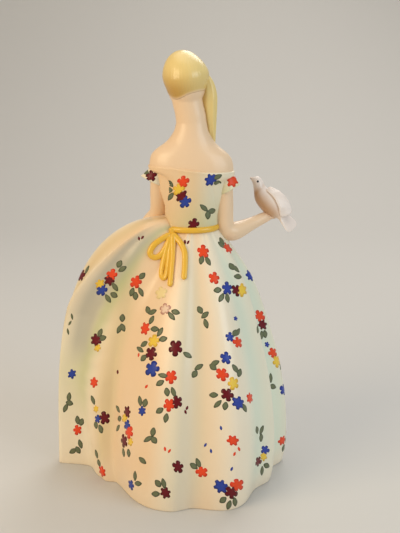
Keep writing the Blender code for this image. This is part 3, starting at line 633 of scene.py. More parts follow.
# %% Sizes of the bodice
BODICE_HEIGHT, WAIST_SEAM = 38.8 * MM, 0.5 * MM
NECKLINE_HEIGHT = WAIST_HEIGHT + BODICE_HEIGHT
NECKLINE_FRONT_DIP, SHOULDER_SLOPE, SHOULDER_HALF_WIDTH = 3.0 * MM, 0.075, 27.0 * MM
BODICE_HALF_WIDTH, BODICE_BACK_DEPTH, BODICE_FRONT_DEPTH = 17.6 * MM, 14.6 * MM, 17.0 * MM
CHEST_SWELL, CHEST_SHARE, CHEST_SPREAD = 4.0 * MM, 0.62, 0.2
CHEST_ANGLES, CHEST_TURN = (66, 114), 19
BODICE_WALL, BODICE_SINK, BODICE_TUCK = 2.4 * MM, 1.2 * MM, 0.5 * MM
SHOULDER_HALF_DEPTH, BAND_LIFT = 13.2 * MM, 0.4 * MM
BAND_START, BAND_FULL = 0.74, 0.95
LIP_LIFT, LIP_REACH, LIP_RISE = 0.3 * MM, 0.7 * MM, 1.6 * MM
BODICE_SIDES, BODICE_ROWS, LIP_ROWS, LINING_ROWS = 192, 56, 6, 8


def neckline_height(angle):
    turn = math.radians(angle)
    slope = -SHOULDER_SLOPE * SHOULDER_HALF_WIDTH * math.cos(turn)
    return NECKLINE_HEIGHT + slope - NECKLINE_FRONT_DIP * max(0.0, math.sin(turn)) ** 2


def bodice_radius(angle, share):
    """Outer radius, from share 0 at the waist seam to 1 at the neckline."""
    front = mix(WAIST_HALF_DEPTH, BODICE_FRONT_DEPTH, ease(share))
    back = mix(WAIST_HALF_DEPTH, BODICE_BACK_DEPTH, ease(share))
    width = mix(WAIST_HALF_WIDTH, BODICE_HALF_WIDTH, ease(share))
    breast = sum(hill(turn_from(angle, middle), CHEST_TURN) for middle in CHEST_ANGLES)
    plain = oval(angle, width, back, front) + CHEST_SWELL * breast * hill(share - CHEST_SHARE, CHEST_SPREAD)
    band = oval(angle, SHOULDER_HALF_WIDTH, SHOULDER_HALF_DEPTH, SHOULDER_HALF_DEPTH) + BAND_LIFT
    return plain + max(0.0, band - plain) * ease((share - BAND_START) / (BAND_FULL - BAND_START))


# %% Pull the bodice
def bodice_place(angle, row):
    foot, top = rim_height(angle) + WAIST_SEAM, neckline_height(angle) + LIP_RISE
    if row == 0:
        return at_polar(TORSO_OFFSET, 0, angle, bodice_radius(angle, 0) - BODICE_TUCK, foot - BODICE_SINK)
    if row <= BODICE_ROWS:
        share = (row - 1) / (BODICE_ROWS - 1)
        height = mix(foot, top - LIP_REACH, share)
        lip = LIP_LIFT * hill(top - LIP_REACH - height, LIP_REACH)
        return at_polar(TORSO_OFFSET, 0, angle, bodice_radius(angle, share) + lip, height)
    outer, inner = bodice_radius(angle, 1) + LIP_LIFT, bodice_radius(angle, 1) - BODICE_WALL
    if row <= BODICE_ROWS + LIP_ROWS:
        turn = math.pi * (row - BODICE_ROWS) / LIP_ROWS
        radius = mix(inner, outer, (1 + math.cos(turn)) / 2)
        return at_polar(TORSO_OFFSET, 0, angle, radius, top - LIP_REACH * (1 - math.sin(turn)))
    share = (row - BODICE_ROWS - LIP_ROWS) / LINING_ROWS
    radius = mix(inner, waist_radius(angle) - BODICE_WALL, share)
    return at_polar(TORSO_OFFSET, 0, angle, radius, mix(top - LIP_REACH, foot - BODICE_SINK, share))


bodice = pull_wall("bodice_cloth", BODICE_SIDES, BODICE_ROWS + LIP_ROWS + LINING_ROWS)
close_ring(bodice)
shape_wall(bodice, bodice_place)

# %% Spray the bodice, and paint warm light on its left
# Green at the waist and down the right side: how strong, at which angle, how high and how far upwards
WAIST_GREEN, WAIST_GREEN_ANGLE, WAIST_GREEN_RISE = 0.38, 285, 0.3
SIDE_GREEN, SIDE_GREEN_ANGLE, SIDE_GREEN_SHARE, SIDE_GREEN_RISE = 0.26, 330, 0.2, 0.6
# Painted warm lamp light on the left side of the bodice
LEFT_WARM_LIGHT, LEFT_WARM_LIGHT_SOFT = 0.95, 16 * MM


def bodice_green_at(point):
    share = (point.z - WAIST_HEIGHT) / BODICE_HEIGHT
    angle = math.degrees(math.atan2(point.y, point.x - TORSO_OFFSET))
    low = WAIST_GREEN * hill(share, WAIST_GREEN_RISE)
    low *= ease(1 - abs(turn_from(angle, WAIST_GREEN_ANGLE)) / 180)
    side = SIDE_GREEN * ease(0.5 + 0.5 * math.cos(math.radians(angle - SIDE_GREEN_ANGLE)))
    return low + side * hill(share - SIDE_GREEN_SHARE, SIDE_GREEN_RISE)


def bodice_painted_warm_light_at(point):
    return LEFT_WARM_LIGHT * ease((TORSO_OFFSET + LEFT_WARM_LIGHT_SOFT - point.x) / LEFT_WARM_LIGHT_SOFT)


tint_points(bodice, "green", bodice_green_at)
tint_points(bodice, "painted_warm_light", bodice_painted_warm_light_at)
dress_piece(bodice, dress_glaze, "dress", "bodice")

# %% [markdown]
# ## Sleeves
# Each sleeve is a short flared cup of cloth round the top of the arm. A cone would look stiff, so the flare
# grows towards the hem, the hem is cut shorter on the outside and waves slightly, and the edge is rolled over
# into a lining.

# %% Pull the sleeves
UPPER_ARM_RADIUS = 4.3 * MM
ARM_OFFSET = BODICE_HALF_WIDTH + UPPER_ARM_RADIUS
SLEEVE_TOP_RADIUS, SLEEVE_FLARE = 5.3 * MM, 1.2 * MM
# Side, middle drop of the hem, how far it tilts and leans forward, its radius outside and at the back
SLEEVE_SIZES = {
    "right": (1, 9.8 * MM, 0.34, 0.05, 7.7 * MM, 7.0 * MM),
    "left": (-1, 8.8 * MM, 0.42, 0.40, 9.0 * MM, 8.4 * MM),
}
SLEEVE_SIDES, CROWN_ROWS, SLEEVE_ROWS, SLEEVE_LIP_ROWS, SLEEVE_LINING_ROWS = 96, 4, 22, 4, 8
SLEEVE_WALL, SLEEVE_SINK, SLEEVE_WAVE, SLEEVE_WAVES = 0.9 * MM, 1.0 * MM, 0.3 * MM, 4
SLEEVE_BACK_TURN, SLEEVE_FLARE_POWER, SLEEVE_ROLL = 1.3, 1.3, 0.5
SLEEVE_GREEN = {1: 0.5, -1: 0.15}


def shoulder_point(side):
    return Vector((TORSO_OFFSET + side * ARM_OFFSET, 0, neckline_height(0 if side > 0 else 180)))


def make_sleeve(name, node, side, height, tilt, forward, hem, back_hem):
    top = shoulder_point(side) - Vector((0, 0, SLEEVE_SINK))

    def outer_radius(angle, share):
        turn = math.radians(angle)
        edge = mix(hem, back_hem, ease(-SLEEVE_BACK_TURN * math.sin(turn)))
        flare = mix(SLEEVE_TOP_RADIUS, edge, share**SLEEVE_FLARE_POWER)
        return flare + SLEEVE_WAVE * math.cos(SLEEVE_WAVES * turn) * share

    def place(angle, row):
        if row <= CROWN_ROWS:
            radius = SLEEVE_TOP_RADIUS * row / CROWN_ROWS
            return at_polar(top.x, top.y, angle, radius, top.z)
        row -= CROWN_ROWS
        if row <= SLEEVE_ROWS:
            share, inset = row / SLEEVE_ROWS, 0
        elif row <= SLEEVE_ROWS + SLEEVE_LIP_ROWS:
            turn = math.pi * (row - SLEEVE_ROWS) / SLEEVE_LIP_ROWS
            share = 1 + SLEEVE_ROLL * SLEEVE_WALL / height * math.sin(turn)
            inset = SLEEVE_WALL * (1 - math.cos(turn)) / 2
        else:
            share = 1 - (row - SLEEVE_ROWS - SLEEVE_LIP_ROWS) / SLEEVE_LINING_ROWS
            inset = SLEEVE_WALL
        radius = outer_radius(angle, share) - inset
        if row == SLEEVE_ROWS + SLEEVE_LIP_ROWS + SLEEVE_LINING_ROWS:
            radius = 0
        shift = side * SLEEVE_FLARE * share
        drop = height * share * (1 - tilt * side * math.cos(math.radians(angle)))
        return at_polar(top.x + shift, top.y + forward * drop, angle, radius, top.z - drop)

    sleeve = pull_wall(name, SLEEVE_SIDES, CROWN_ROWS + SLEEVE_ROWS + SLEEVE_LIP_ROWS + SLEEVE_LINING_ROWS)
    shape_wall(sleeve, place)
    tint_points(sleeve, "green", lambda point: SLEEVE_GREEN[side] * ease((top.z - point.z) / height))
    dress_piece(sleeve, dress_glaze, "dress", node)
    return sleeve


sleeves = [
    make_sleeve(f"{name}_sleeve_cloth", f"{name}_sleeve", *sizes) for name, sizes in SLEEVE_SIZES.items()
]

# %% [markdown]
# ## Bust and head
# Shoulders, neck and head are one casting, so no seam may show at the neck. The shoulders are pulled as a
# wall, the head is one ball and the jaw, which narrows to the chin, another, and the three are joined. A
# voxel remesh then makes one skin of them and a smooth modifier softens the meeting, as a wet sponge does on
# clay. The face is the calm, simple one that figurines have, on the proportions that every drawing book
# gives: eyes half way up the head, and thirds from the hairline to the brow, the base of the nose and the
# chin.

# %% Sizes of the bust
NECK_HALF_WIDTH, NECK_HALF_DEPTH = 9.7 * MM, 8.6 * MM
NECK_FORWARD, NECK_LEAN, SHOULDER_TO_NECK, NECK_LENGTH = 3.0 * MM, 3.1 * MM, 30.0 * MM, 13.0 * MM
NECK_PLUG, NECK_INTO_HEAD = 5.0 * MM, 5.0 * MM
HEAD_FORWARD, HEAD_SINK, CHIN_NARROWING = 1.2 * MM, 5.5 * MM, 0.35
HEAD_HALF = Vector((12.6, 15.0, 17.5)) * MM
HEAD_CENTRE = Vector((
    TORSO_OFFSET - NECK_LEAN,
    NECK_FORWARD + HEAD_FORWARD,
    NECKLINE_HEIGHT + SHOULDER_TO_NECK + NECK_LENGTH + HEAD_HALF.z - HEAD_SINK,
))
HEAD_LEAN, LEAN_FROM = 0.10, -4.0 * MM
JAW_HALF, JAW_PLACE = Vector((9.5, 9.6, 9.0)) * MM, Vector((0, 4.5, -8.3)) * MM
# How far up and how far inward the shoulder's outline has come at each step
SHOULDER_STEPS = ((0.0, 0.0), (0.10, 0.012), (0.20, 0.035), (0.30, 0.10), (0.40, 0.25), (0.50, 0.48),
                  (0.60, 0.68), (0.72, 0.83), (0.84, 0.94), (1.0, 1.0))
# How far up each row of the neck lies, and its share of the neck's radius
NECK_STEPS = ((0.3, 1), (0.6, 1), (0.8, 1), (1.0, 1), (1.0, 0))
BUST_SIDES, PLUG_ROWS, STEPS_BETWEEN = 96, 3, 3
BALL_SEGMENTS, BALL_RINGS = 72, 48
CLAY_GRAIN, SPONGE_STROKES, SPONGE_PRESS = 0.5 * MM, 8, 0.5


def lean(spot):
    """Tips the upper head a little to the lady's left."""
    return spot - Vector((HEAD_LEAN * max(0.0, spot.z - LEAN_FROM), 0, 0))


def smooth_curve(points, share):
    """A point on a smooth line through the given points, from share 0 to 1."""
    place = min(max(share, 0.0), 1.0) * (len(points) - 1)
    start = min(int(place), len(points) - 2)
    t = place - start
    b, c = points[start], points[start + 1]
    a = points[start - 1] if start else tuple(2 * p - q for p, q in zip(b, c))
    d = points[start + 2] if start + 2 < len(points) else tuple(2 * q - p for p, q in zip(b, c))
    return tuple(
        0.5 * (2 * q + (r - p) * t + (2 * p - 5 * q + 4 * r - s) * t**2 + (3 * q - p - 3 * r + s) * t**3)
        for p, q, r, s in zip(a, b, c, d)
    )


def fuse(piece, grain, strokes):
    """One skin over joined shapes, then smoothed."""
    only(piece)
    remesh = piece.modifiers.new("clay", "REMESH")
    remesh.mode, remesh.voxel_size = "VOXEL", grain
    sponge = piece.modifiers.new("sponge", "SMOOTH")
    sponge.factor, sponge.iterations = SPONGE_PRESS, strokes
    for name in ("clay", "sponge"):
        bpy.ops.object.modifier_apply(modifier=name)
    close_wall(piece)


def join_pieces(first, *others):
    only(first)
    for other in others:
        other.select_set(True)
    bpy.ops.object.join()
    return first


# %% Shoulders and head
SHOULDER_ROWS = (len(SHOULDER_STEPS) - 1) * STEPS_BETWEEN


def shoulder_place(angle, row):
    if row < PLUG_ROWS:
        plug = bodice_radius(angle, BAND_START) - BODICE_WALL
        band = bodice_radius(angle, 1) - 2 * BAND_LIFT
        radius, drop = ((0, NECK_PLUG), (plug, NECK_PLUG), (band, LIP_REACH))[row]
        return at_polar(TORSO_OFFSET, 0, angle, radius, neckline_height(angle) - drop)
    if row <= PLUG_ROWS + SHOULDER_ROWS:
        rise, inward = smooth_curve(SHOULDER_STEPS, (row - PLUG_ROWS) / SHOULDER_ROWS)
        half_width = mix(SHOULDER_HALF_WIDTH, NECK_HALF_WIDTH, inward)
        half_depth = mix(SHOULDER_HALF_DEPTH, NECK_HALF_DEPTH, ease(rise))
        slope = (neckline_height(angle) - NECKLINE_HEIGHT) * (1 - rise)
        radius = oval(angle, half_width, half_depth, half_depth)
        height = NECKLINE_HEIGHT + slope + SHOULDER_TO_NECK * rise
        return at_polar(TORSO_OFFSET, NECK_FORWARD * rise**2 / 2, angle, radius, height)
    rise, share = NECK_STEPS[row - PLUG_ROWS - SHOULDER_ROWS - 1]
    radius = share * oval(angle, NECK_HALF_WIDTH, NECK_HALF_DEPTH, NECK_HALF_DEPTH)
    height = NECKLINE_HEIGHT + SHOULDER_TO_NECK + (NECK_LENGTH + NECK_INTO_HEAD) * rise
    return at_polar(TORSO_OFFSET - NECK_LEAN * ease(rise), NECK_FORWARD / 2, angle, radius, height)


def add_ball():
    bpy.ops.object.select_all(action="DESELECT")
    bpy.ops.mesh.primitive_uv_sphere_add(segments=BALL_SEGMENTS, ring_count=BALL_RINGS, location=(0, 0, 0))
    return bpy.context.object


bust = pull_wall("bust_skin", BUST_SIDES, PLUG_ROWS + SHOULDER_ROWS + len(NECK_STEPS))
shape_wall(bust, shoulder_place)
head = add_ball()
for vertex in head.data.vertices:
    vertex.co = HEAD_CENTRE + lean(vertex.co * HEAD_HALF)
jaw = add_ball()
for vertex in jaw.data.vertices:
    x, y, z = vertex.co
    narrow = 1 - CHIN_NARROWING * max(0.0, -z)
    vertex.co = HEAD_CENTRE + JAW_PLACE + Vector((x * narrow, y, z)) * JAW_HALF
join_pieces(bust, head, jaw)
fuse(bust, CLAY_GRAIN, SPONGE_STROKES)

# %% Model the face
EYE_LINE, BROW_LINE, NOSE_BASE, MOUTH_LINE, CHIN = -0.4 * MM, 2.9 * MM, -7.4 * MM, -10.9 * MM, -15.6 * MM
EYE_APART, CHEEK_APART, CHEEK_LINE = 5.0 * MM, 6.6 * MM, -5.2 * MM
FACE_FRONT, FACE_LOWEST = 0.55, -1.1
# Each touch of the modelling tool: sideways and height, then in millimetres its two spreads and its push
FACE_TOUCHES = (
    (EYE_APART, EYE_LINE, 2.9, 2.0, -0.95), (EYE_APART, EYE_LINE - 0.1 * MM, 1.7, 1.15, 0.75),
    (EYE_APART - 0.4 * MM, BROW_LINE, 3.2, 1.1, 0.35), (CHEEK_APART, CHEEK_LINE, 2.8, 2.6, 0.45),
    (0.0, EYE_LINE, 1.1, 2.6, 0.9), (0.0, NOSE_BASE + 3.2 * MM, 1.15, 2.2, 1.0),
    (0.0, NOSE_BASE + 1.0 * MM, 1.35, 1.0, 1.25), (1.5 * MM, NOSE_BASE + 0.6 * MM, 0.7, 0.7, 0.35),
    (0.0, NOSE_BASE - 1.4 * MM, 0.7, 0.9, -0.3), (1.1 * MM, MOUTH_LINE + 0.75 * MM, 1.2, 0.5, 0.5),
    (0.0, MOUTH_LINE - 0.95 * MM, 1.6, 0.6, 0.55), (0.0, MOUTH_LINE, 2.3, 0.22, -0.3),
    (0.0, MOUTH_LINE - 2.4 * MM, 2.0, 0.7, -0.4), (0.0, CHIN + 1.2 * MM, 2.2, 1.5, 0.6),
)
for vertex in bust.data.vertices:
    spot = vertex.co - HEAD_CENTRE
    front = ease(spot.y / (FACE_FRONT * HEAD_HALF.y))
    if front and spot.z > FACE_LOWEST * HEAD_HALF.z:
        push = 0.0
        for side, height, wide, tall, depth in FACE_TOUCHES:
            for mirror in (1, -1) if side else (1,):
                touch = hill(spot.x - mirror * side, wide * MM) * hill(spot.z - height, tall * MM)
                push += depth * MM * touch
        vertex.co.y += push * front

# %% Tint the cheeks
BLUSH_MOST, BLUSH_LINE, BLUSH_FRONT = 0.42, -5.6 * MM, 0.5
BLUSH_WIDE, BLUSH_TALL = 2.6 * MM, 2.2 * MM


def blush_at(point):
    spot = point - HEAD_CENTRE
    if spot.z <= -HEAD_HALF.z:
        return 0.0
    cheeks = sum(hill(spot.x - side * CHEEK_APART, BLUSH_WIDE) for side in (1, -1))
    cheeks *= hill(spot.z - BLUSH_LINE, BLUSH_TALL)
    return BLUSH_MOST * cheeks * ease(spot.y / (BLUSH_FRONT * HEAD_HALF.y))


tint_points(bust, "blush", blush_at)
dress_piece(bust, skin_glaze, "skin", "bust")

# %% [markdown]
# ## Hair
# The hair is a smooth cap that lies on the head and ends in a soft edge, low on the left of the nape and
# higher on the right, where one lock leaves it and falls in front of the shoulder. The cap is a wall that
# starts at the crown, runs down to the edge, and comes back underneath. The lock is a ring swept along a
# line, with shallow grooves that wind round it.

# %% The cap
HAIR_THICKNESS, HAIR_EDGE, HAIR_UNDER = 2.0 * MM, 0.12 * MM, -0.5 * MM
HAIR_SIDES, HAIR_ROWS, HAIR_BACK_ROWS = 160, 64, 24
STRANDS, STRAND_DEPTH, STRAND_SWIRL = 46, 0.07 * MM, 1.1
# Height of the hair's edge above the head's middle: angle, millimetres
HAIR_EDGE_LINE = (
    (0, -5.0), (28, 1.0), (58, 8.0), (90, 11.0), (122, 8.0), (152, 1.0), (178, -6.2), (204, -8.8),
    (230, -10.2), (252, -9.2), (275, -6.8), (305, -5.2), (335, -5.0),
)
HAIR_FULLNESS, HAIR_FULL_ANGLE, HAIR_FULL_SPREAD = 1.3 * MM, 340, 36
# Shares of the way down the cap: where it grows full, thins out and turns under, and where strands fade
HAIR_FULL_START, HAIR_FULL_SOFT, HAIR_THIN, HAIR_TURN_UNDER = 0.3, 0.4, 0.35, 0.1
STRAND_START, STRAND_END, STRAND_BEND = 0.4, 0.1, 3


@functools.cache
def hair_edge(angle):
    """Height of the edge at an angle, on a smooth line that closes on itself."""
    first, second, last = HAIR_EDGE_LINE[0], HAIR_EDGE_LINE[1], HAIR_EDGE_LINE[-1]
    after = [(turn + 360, height) for turn, height in (first, second)]
    line = [(last[0] - 360, last[1]), *HAIR_EDGE_LINE, *after]
    for step in range(1, len(line) - 2):
        (start, low), (end, high) = line[step], line[step + 1]
        if start <= angle <= end:
            share = (step + (angle - start) / (end - start)) / (len(line) - 1)
            return smooth_curve([(height,) for turn, height in line], share)[0] * MM


def hair_place(angle, row):
    reach = math.acos(hair_edge(angle) / (HEAD_HALF.z + HAIR_EDGE))
    if row <= HAIR_ROWS:
        share = row / HAIR_ROWS
        full = HAIR_FULLNESS * hill(turn_from(angle, HAIR_FULL_ANGLE), HAIR_FULL_SPREAD)
        full *= ease((share - HAIR_FULL_START) / HAIR_FULL_SOFT)
        thick = mix(HAIR_EDGE, HAIR_THICKNESS + full, ease((1 - share) / HAIR_THIN))
        wave = math.cos(math.radians(STRANDS * angle) + STRAND_SWIRL * math.sin(STRAND_BEND * share))
        thick += STRAND_DEPTH * wave * ease(share / STRAND_START) * ease((1 - share) / STRAND_END)
    else:
        share = 1 - (row - HAIR_ROWS) / HAIR_BACK_ROWS
        thick = mix(HAIR_UNDER, HAIR_EDGE, ease(1 - (1 - share) / HAIR_TURN_UNDER))
    fall, turn = reach * share, math.radians(angle)
    out = math.sin(fall)
    size = HEAD_HALF + Vector((thick, thick, thick))
    return HEAD_CENTRE + lean(Vector((
        size.x * out * math.cos(turn), size.y * out * math.sin(turn), size.z * math.cos(fall),
    )))


cap = pull_wall("hair_smooth_cap", HAIR_SIDES, HAIR_ROWS + HAIR_BACK_ROWS)
shape_wall(cap, hair_place)

# %% Tint the cap, with painted shade low on it
# The ochre low on the hair is partly the maker's tint and partly painted shade: darker towards the nape, most
# on the left
OCHRE_TOP, OCHRE_SOFT, OCHRE_FRONT = 11 * MM, 18 * MM, 0.7
OCHRE_RIGHT, OCHRE_LEFT, OCHRE_TURN = 0.34, 0.95, 1.4
DRY_BRUSH, DRY_REACH = 0.8, 2.2 * MM


def ochre_and_shade_at(point):
    spot = point - HEAD_CENTRE
    left = ease(0.5 - spot.x / (OCHRE_TURN * HEAD_HALF.x))
    low = ease((OCHRE_TOP - spot.z) / OCHRE_SOFT)
    return low * mix(OCHRE_RIGHT, OCHRE_LEFT, left) * ease(OCHRE_FRONT - spot.y / HEAD_HALF.y)


def flesh_at(point):
    """The brush was nearly dry at the hair's edge, so the skin shines through there."""
    spot = point - HEAD_CENTRE
    angle = math.degrees(math.atan2(spot.y / HEAD_HALF.y, spot.x / HEAD_HALF.x)) % 360
    return DRY_BRUSH * ease(1 - (spot.z - hair_edge(round(angle, 1))) / DRY_REACH)


tint_points(cap, "ochre_and_shade", ochre_and_shade_at)
tint_points(cap, "flesh", flesh_at)
dress_piece(cap, hair_glaze, "hair", "hair_cap")


# %% A ring swept along a line
def sweep(name, sides, rows, line_at, twist=0, flutes=0, flute_depth=0.0):
    """line_at(share) gives the middle, the way that counts as up, the half width and the half height."""
    shares = [(1 - math.cos(math.pi * row / rows)) / 2 for row in range(rows + 1)]
    stops = [line_at(share) for share in shares]
    frames = []
    for row, (middle, up, half_width, half_height) in enumerate(stops):
        ahead = stops[min(row + 1, rows)][0] - stops[max(row - 1, 0)][0]
        side = ahead.cross(up).normalized()
        rise = side.cross(ahead).normalized()
        end = 0 if row in (0, rows) else 1
        frames.append((middle, side * half_width * end, rise * half_height * end, shares[row]))

    def place(angle, row):
        middle, side, rise, share = frames[row]
        turn = math.radians(angle)
        grow = 1 + flute_depth * math.cos(flutes * turn + twist * share)
        return middle + (side * math.cos(turn) + rise * math.sin(turn)) * grow

    piece = pull_wall(name, sides, rows)
    shape_wall(piece, place)
    return piece


def round_end(share, length, radius):
    """Shrinks a swept ring near its two ends, so that they are round."""
    near = min(share, 1 - share) * length
    return math.sqrt(1 - max(0.0, 1 - near / radius) ** 2) if near < radius else 1.0


# %% The lock
TRESS_BACK, TRESS_ROUND, TRESS_FLAT = 1.4 * MM, 1.5 * MM, 0.8
TRESS_SIDES, TRESS_ROWS, TRESS_TWIST, TRESS_FLUTES, TRESS_FLUTE_DEPTH = 48, 72, 2.4, 7, 0.05
TRESS_OCHRE, TRESS_OCHRE_FROM, TRESS_OCHRE_SOFT = 0.22, 15 * MM, 4 * MM
# Middle of the lock sideways and upwards from the head's middle, and its half width, in millimetres
TRESS_LINE = (
    (11.0, 5.5, 1.6), (13.4, -1.0, 3.6), (14.4, -7.7, 4.6), (14.6, -14.5, 4.6), (15.3, -24.0, 3.6),
    (16.2, -33.4, 2.3), (17.4, -39.4, 0.9),
)
TRESS_FALL = (TRESS_LINE[0][1] - TRESS_LINE[-1][1]) * MM


def tress_at(share):
    x, z, radius = (size * MM for size in smooth_curve(TRESS_LINE, share))
    radius *= round_end(share, TRESS_FALL, TRESS_ROUND)
    return HEAD_CENTRE + Vector((x, -TRESS_BACK, z)), Vector((0, 1, 0)), radius, TRESS_FLAT * radius


def tress_ochre_at(point):
    return TRESS_OCHRE * ease((HEAD_CENTRE.x + TRESS_OCHRE_FROM - point.x) / TRESS_OCHRE_SOFT)


tress = sweep(
    "hair_long_lock", TRESS_SIDES, TRESS_ROWS, tress_at, TRESS_TWIST, TRESS_FLUTES, TRESS_FLUTE_DEPTH)
tint_points(tress, "ochre_and_shade", tress_ochre_at)
tint_points(tress, "flesh", lambda point: 0.0)
dress_piece(tress, hair_glaze, "hair", "hair_tress")

# %% [markdown]
# ## Arms
# Each arm is a ring swept from the shoulder over the elbow to the wrist. A hand made of one blob would look
# like a mitten, so a palm, four fingers and a thumb are swept as well. Joining and remeshing makes one skin
# of them, the same way as with the head.

# %% Sizes of the arms
ELBOW_RADIUS, WRIST_RADIUS, PALM_RADIUS, FINGER_RADIUS = 6.2 * MM, 3.5 * MM, 3.6 * MM, 1.0 * MM
ARM_FULLNESS, ELBOW_RISE, PALM_TAPER = 6.0 * MM, 0.6 * MM, 0.5
# Side, then the elbow from the shoulder and waist, the forearm and the hand, in millimetres
ARMS = {
    "right": (1, (1.6, 2.0, -4.2), (25.5, 17.0, 8.0), (11.5, 6.0, 0.5)),
    "left": (-1, (1.8, 15.0, 3.8), (-22.5, 8.0, -24.0), (-7.5, 2.0, -11.0)),
}
PALM_UP = {"right": Vector((0, 0, 1)), "left": Vector((-0.55, 0.75, 0.35))}
# Shares of the upper arm, the forearm and the hand at which the limb's line has a point
UPPER_FULL, UPPER_LOW, FOREARM_START, FOREARM_LOW, HAND_MIDDLE = 0.45, 0.86, 0.15, 0.62, 0.45
FOREARM_TAPER, ARM_LENGTH, ARM_ROUND, ARM_UP = 0.70, 90 * MM, 2.5 * MM, Vector((0.3, 1, 0.2))
PALM_LENGTH, PALM_ROUND, PALM_FLAT, PALM_REACH = 9 * MM, 2.6 * MM, 0.52, 0.22
ARM_SIDES, ARM_ROWS, PALM_STEPS, FINGER_STEPS = 40, 80, 24, 16
ARM_GRAIN, ARM_STROKES, HAND_BLUSH, HAND_BLUSH_SPREAD = 0.36 * MM, 5, 0.16, 6 * MM
# Sideways place of each finger and its length, in millimetres
FINGERS = ((-2.5, 5.0), (-0.85, 6.0), (0.85, 5.7), (2.4, 4.6))
FINGER_START, FINGER_FAN, FINGER_ARCH, FINGER_TAPER = 0.12, 0.18, 0.35 * MM, (1.05, 0.8)
# Root of the thumb outward from the hand's middle, then its line ahead, outward and up, in millimetres
THUMB_ROOT, THUMB_LINE = 2.2, ((0, 0, 0), (2.2, 1.6, 0.8), (4.6, 1.7, 1.2))
THUMB_LENGTH, THUMB_TAPER = 5 * MM, (1.1, 1.1)


def arm_line(side, elbow, forearm, hand):
    """Middle points and radii from the shoulder to the palm."""
    shoulder = shoulder_point(side)
    elbow = Vector((shoulder.x + side * elbow[0] * MM, elbow[1] * MM, WAIST_HEIGHT + elbow[2] * MM))
    wrist = elbow + Vector(forearm) * MM
    palm = wrist + HAND_MIDDLE * Vector(hand) * MM
    bend = elbow.lerp(wrist, FOREARM_START) + Vector((0, 0, ELBOW_RISE))
    inward = Vector((-side * (ARM_FULLNESS - UPPER_ARM_RADIUS), 0, 0))
    return (
        (*shoulder, UPPER_ARM_RADIUS),
        (*(shoulder.lerp(elbow, UPPER_FULL) + inward), ARM_FULLNESS),
        (*(shoulder.lerp(elbow, UPPER_LOW) + inward), mix(ARM_FULLNESS, ELBOW_RADIUS, 0.5)),
        (*bend, ELBOW_RADIUS),
        (*elbow.lerp(wrist, FOREARM_LOW), mix(ELBOW_RADIUS, WRIST_RADIUS, FOREARM_TAPER)),
        (*wrist, WRIST_RADIUS),
        (*palm, PALM_TAPER * WRIST_RADIUS),
    )


# %% Model the arms
def make_arm(name, node, side, elbow, forearm, hand, palm_up):
    line = arm_line(side, elbow, forearm, hand)
    wrist, palm = Vector(line[-2][:3]), Vector(line[-1][:3])
    ahead = Vector(hand).normalized()
    across = ahead.cross(palm_up).normalized()
    up = across.cross(ahead).normalized()

    def limb_at(share):
        x, y, z, radius = smooth_curve(line, share)
        radius *= round_end(share, ARM_LENGTH, ARM_ROUND)
        return Vector((x, y, z)), ARM_UP, radius, radius

    def palm_at(share):
        middle = wrist.lerp(palm + PALM_REACH * Vector(hand) * MM, share)
        size = PALM_RADIUS * round_end(share, PALM_LENGTH, PALM_ROUND)
        return middle, up, size, PALM_FLAT * size

    def add_finger(finger, stops, length, taper):
        def finger_at(share):
            size = FINGER_RADIUS * round_end(share, length, FINGER_RADIUS) * mix(*taper, share)
            return Vector(smooth_curve([tuple(stop) for stop in stops], share)), up, size, size

        return sweep(finger, FINGER_STEPS, FINGER_STEPS, finger_at)

    parts = [sweep("palm", PALM_STEPS, PALM_STEPS, palm_at)]
    for sideways, length in FINGERS:
        root = palm + (FINGER_START * Vector(hand) + across * sideways) * MM
        tip = root + (ahead * length + across * FINGER_FAN * sideways) * MM
        curl = (root, root.lerp(tip, 0.5) + up * FINGER_ARCH, tip - up * FINGER_ARCH)
        parts.append(add_finger("finger", curl, length * MM, FINGER_TAPER))
    outward = -side * across
    root = wrist.lerp(palm, 0.5) + outward * THUMB_ROOT * MM
    thumb = [root + (ahead * far + outward * out + up * rise) * MM for far, out, rise in THUMB_LINE]
    parts.append(add_finger("thumb", thumb, THUMB_LENGTH, THUMB_TAPER))
    arm = sweep(name, ARM_SIDES, ARM_ROWS, limb_at)
    join_pieces(arm, *parts)
    fuse(arm, ARM_GRAIN, ARM_STROKES)
    tint_points(arm, "blush", lambda point: HAND_BLUSH * hill((point - palm).length, HAND_BLUSH_SPREAD))
    dress_piece(arm, skin_glaze, "skin", node)


for name, sizes in ARMS.items():
    make_arm(f"{name}_arm_skin", f"{name}_arm", *sizes, PALM_UP[name])

# %% [markdown]
# ## Dove
# The dove sits on the lady's right hand with its head up and its tail down. It is modelled level, head
# forward along X, because shapes are easier to write that way, and then turned and pitched to its perch. The
# body is a wall pulled along its length. Each wing is a thin leaf with grooves for the long feathers and a
# row of soft scales over them.

# %% Body of the dove
BIRD_LENGTH, BIRD_RADIUS, BIRD_SINK, BIRD_FORWARD = 46.0 * MM, 7.8 * MM, 4.0 * MM, 0.4 * MM
BIRD_TURN, BIRD_PITCH, BIRD_MIDDLE = math.radians(166), math.radians(45), 0.54
PERCH_PALM = 3.4 * MM
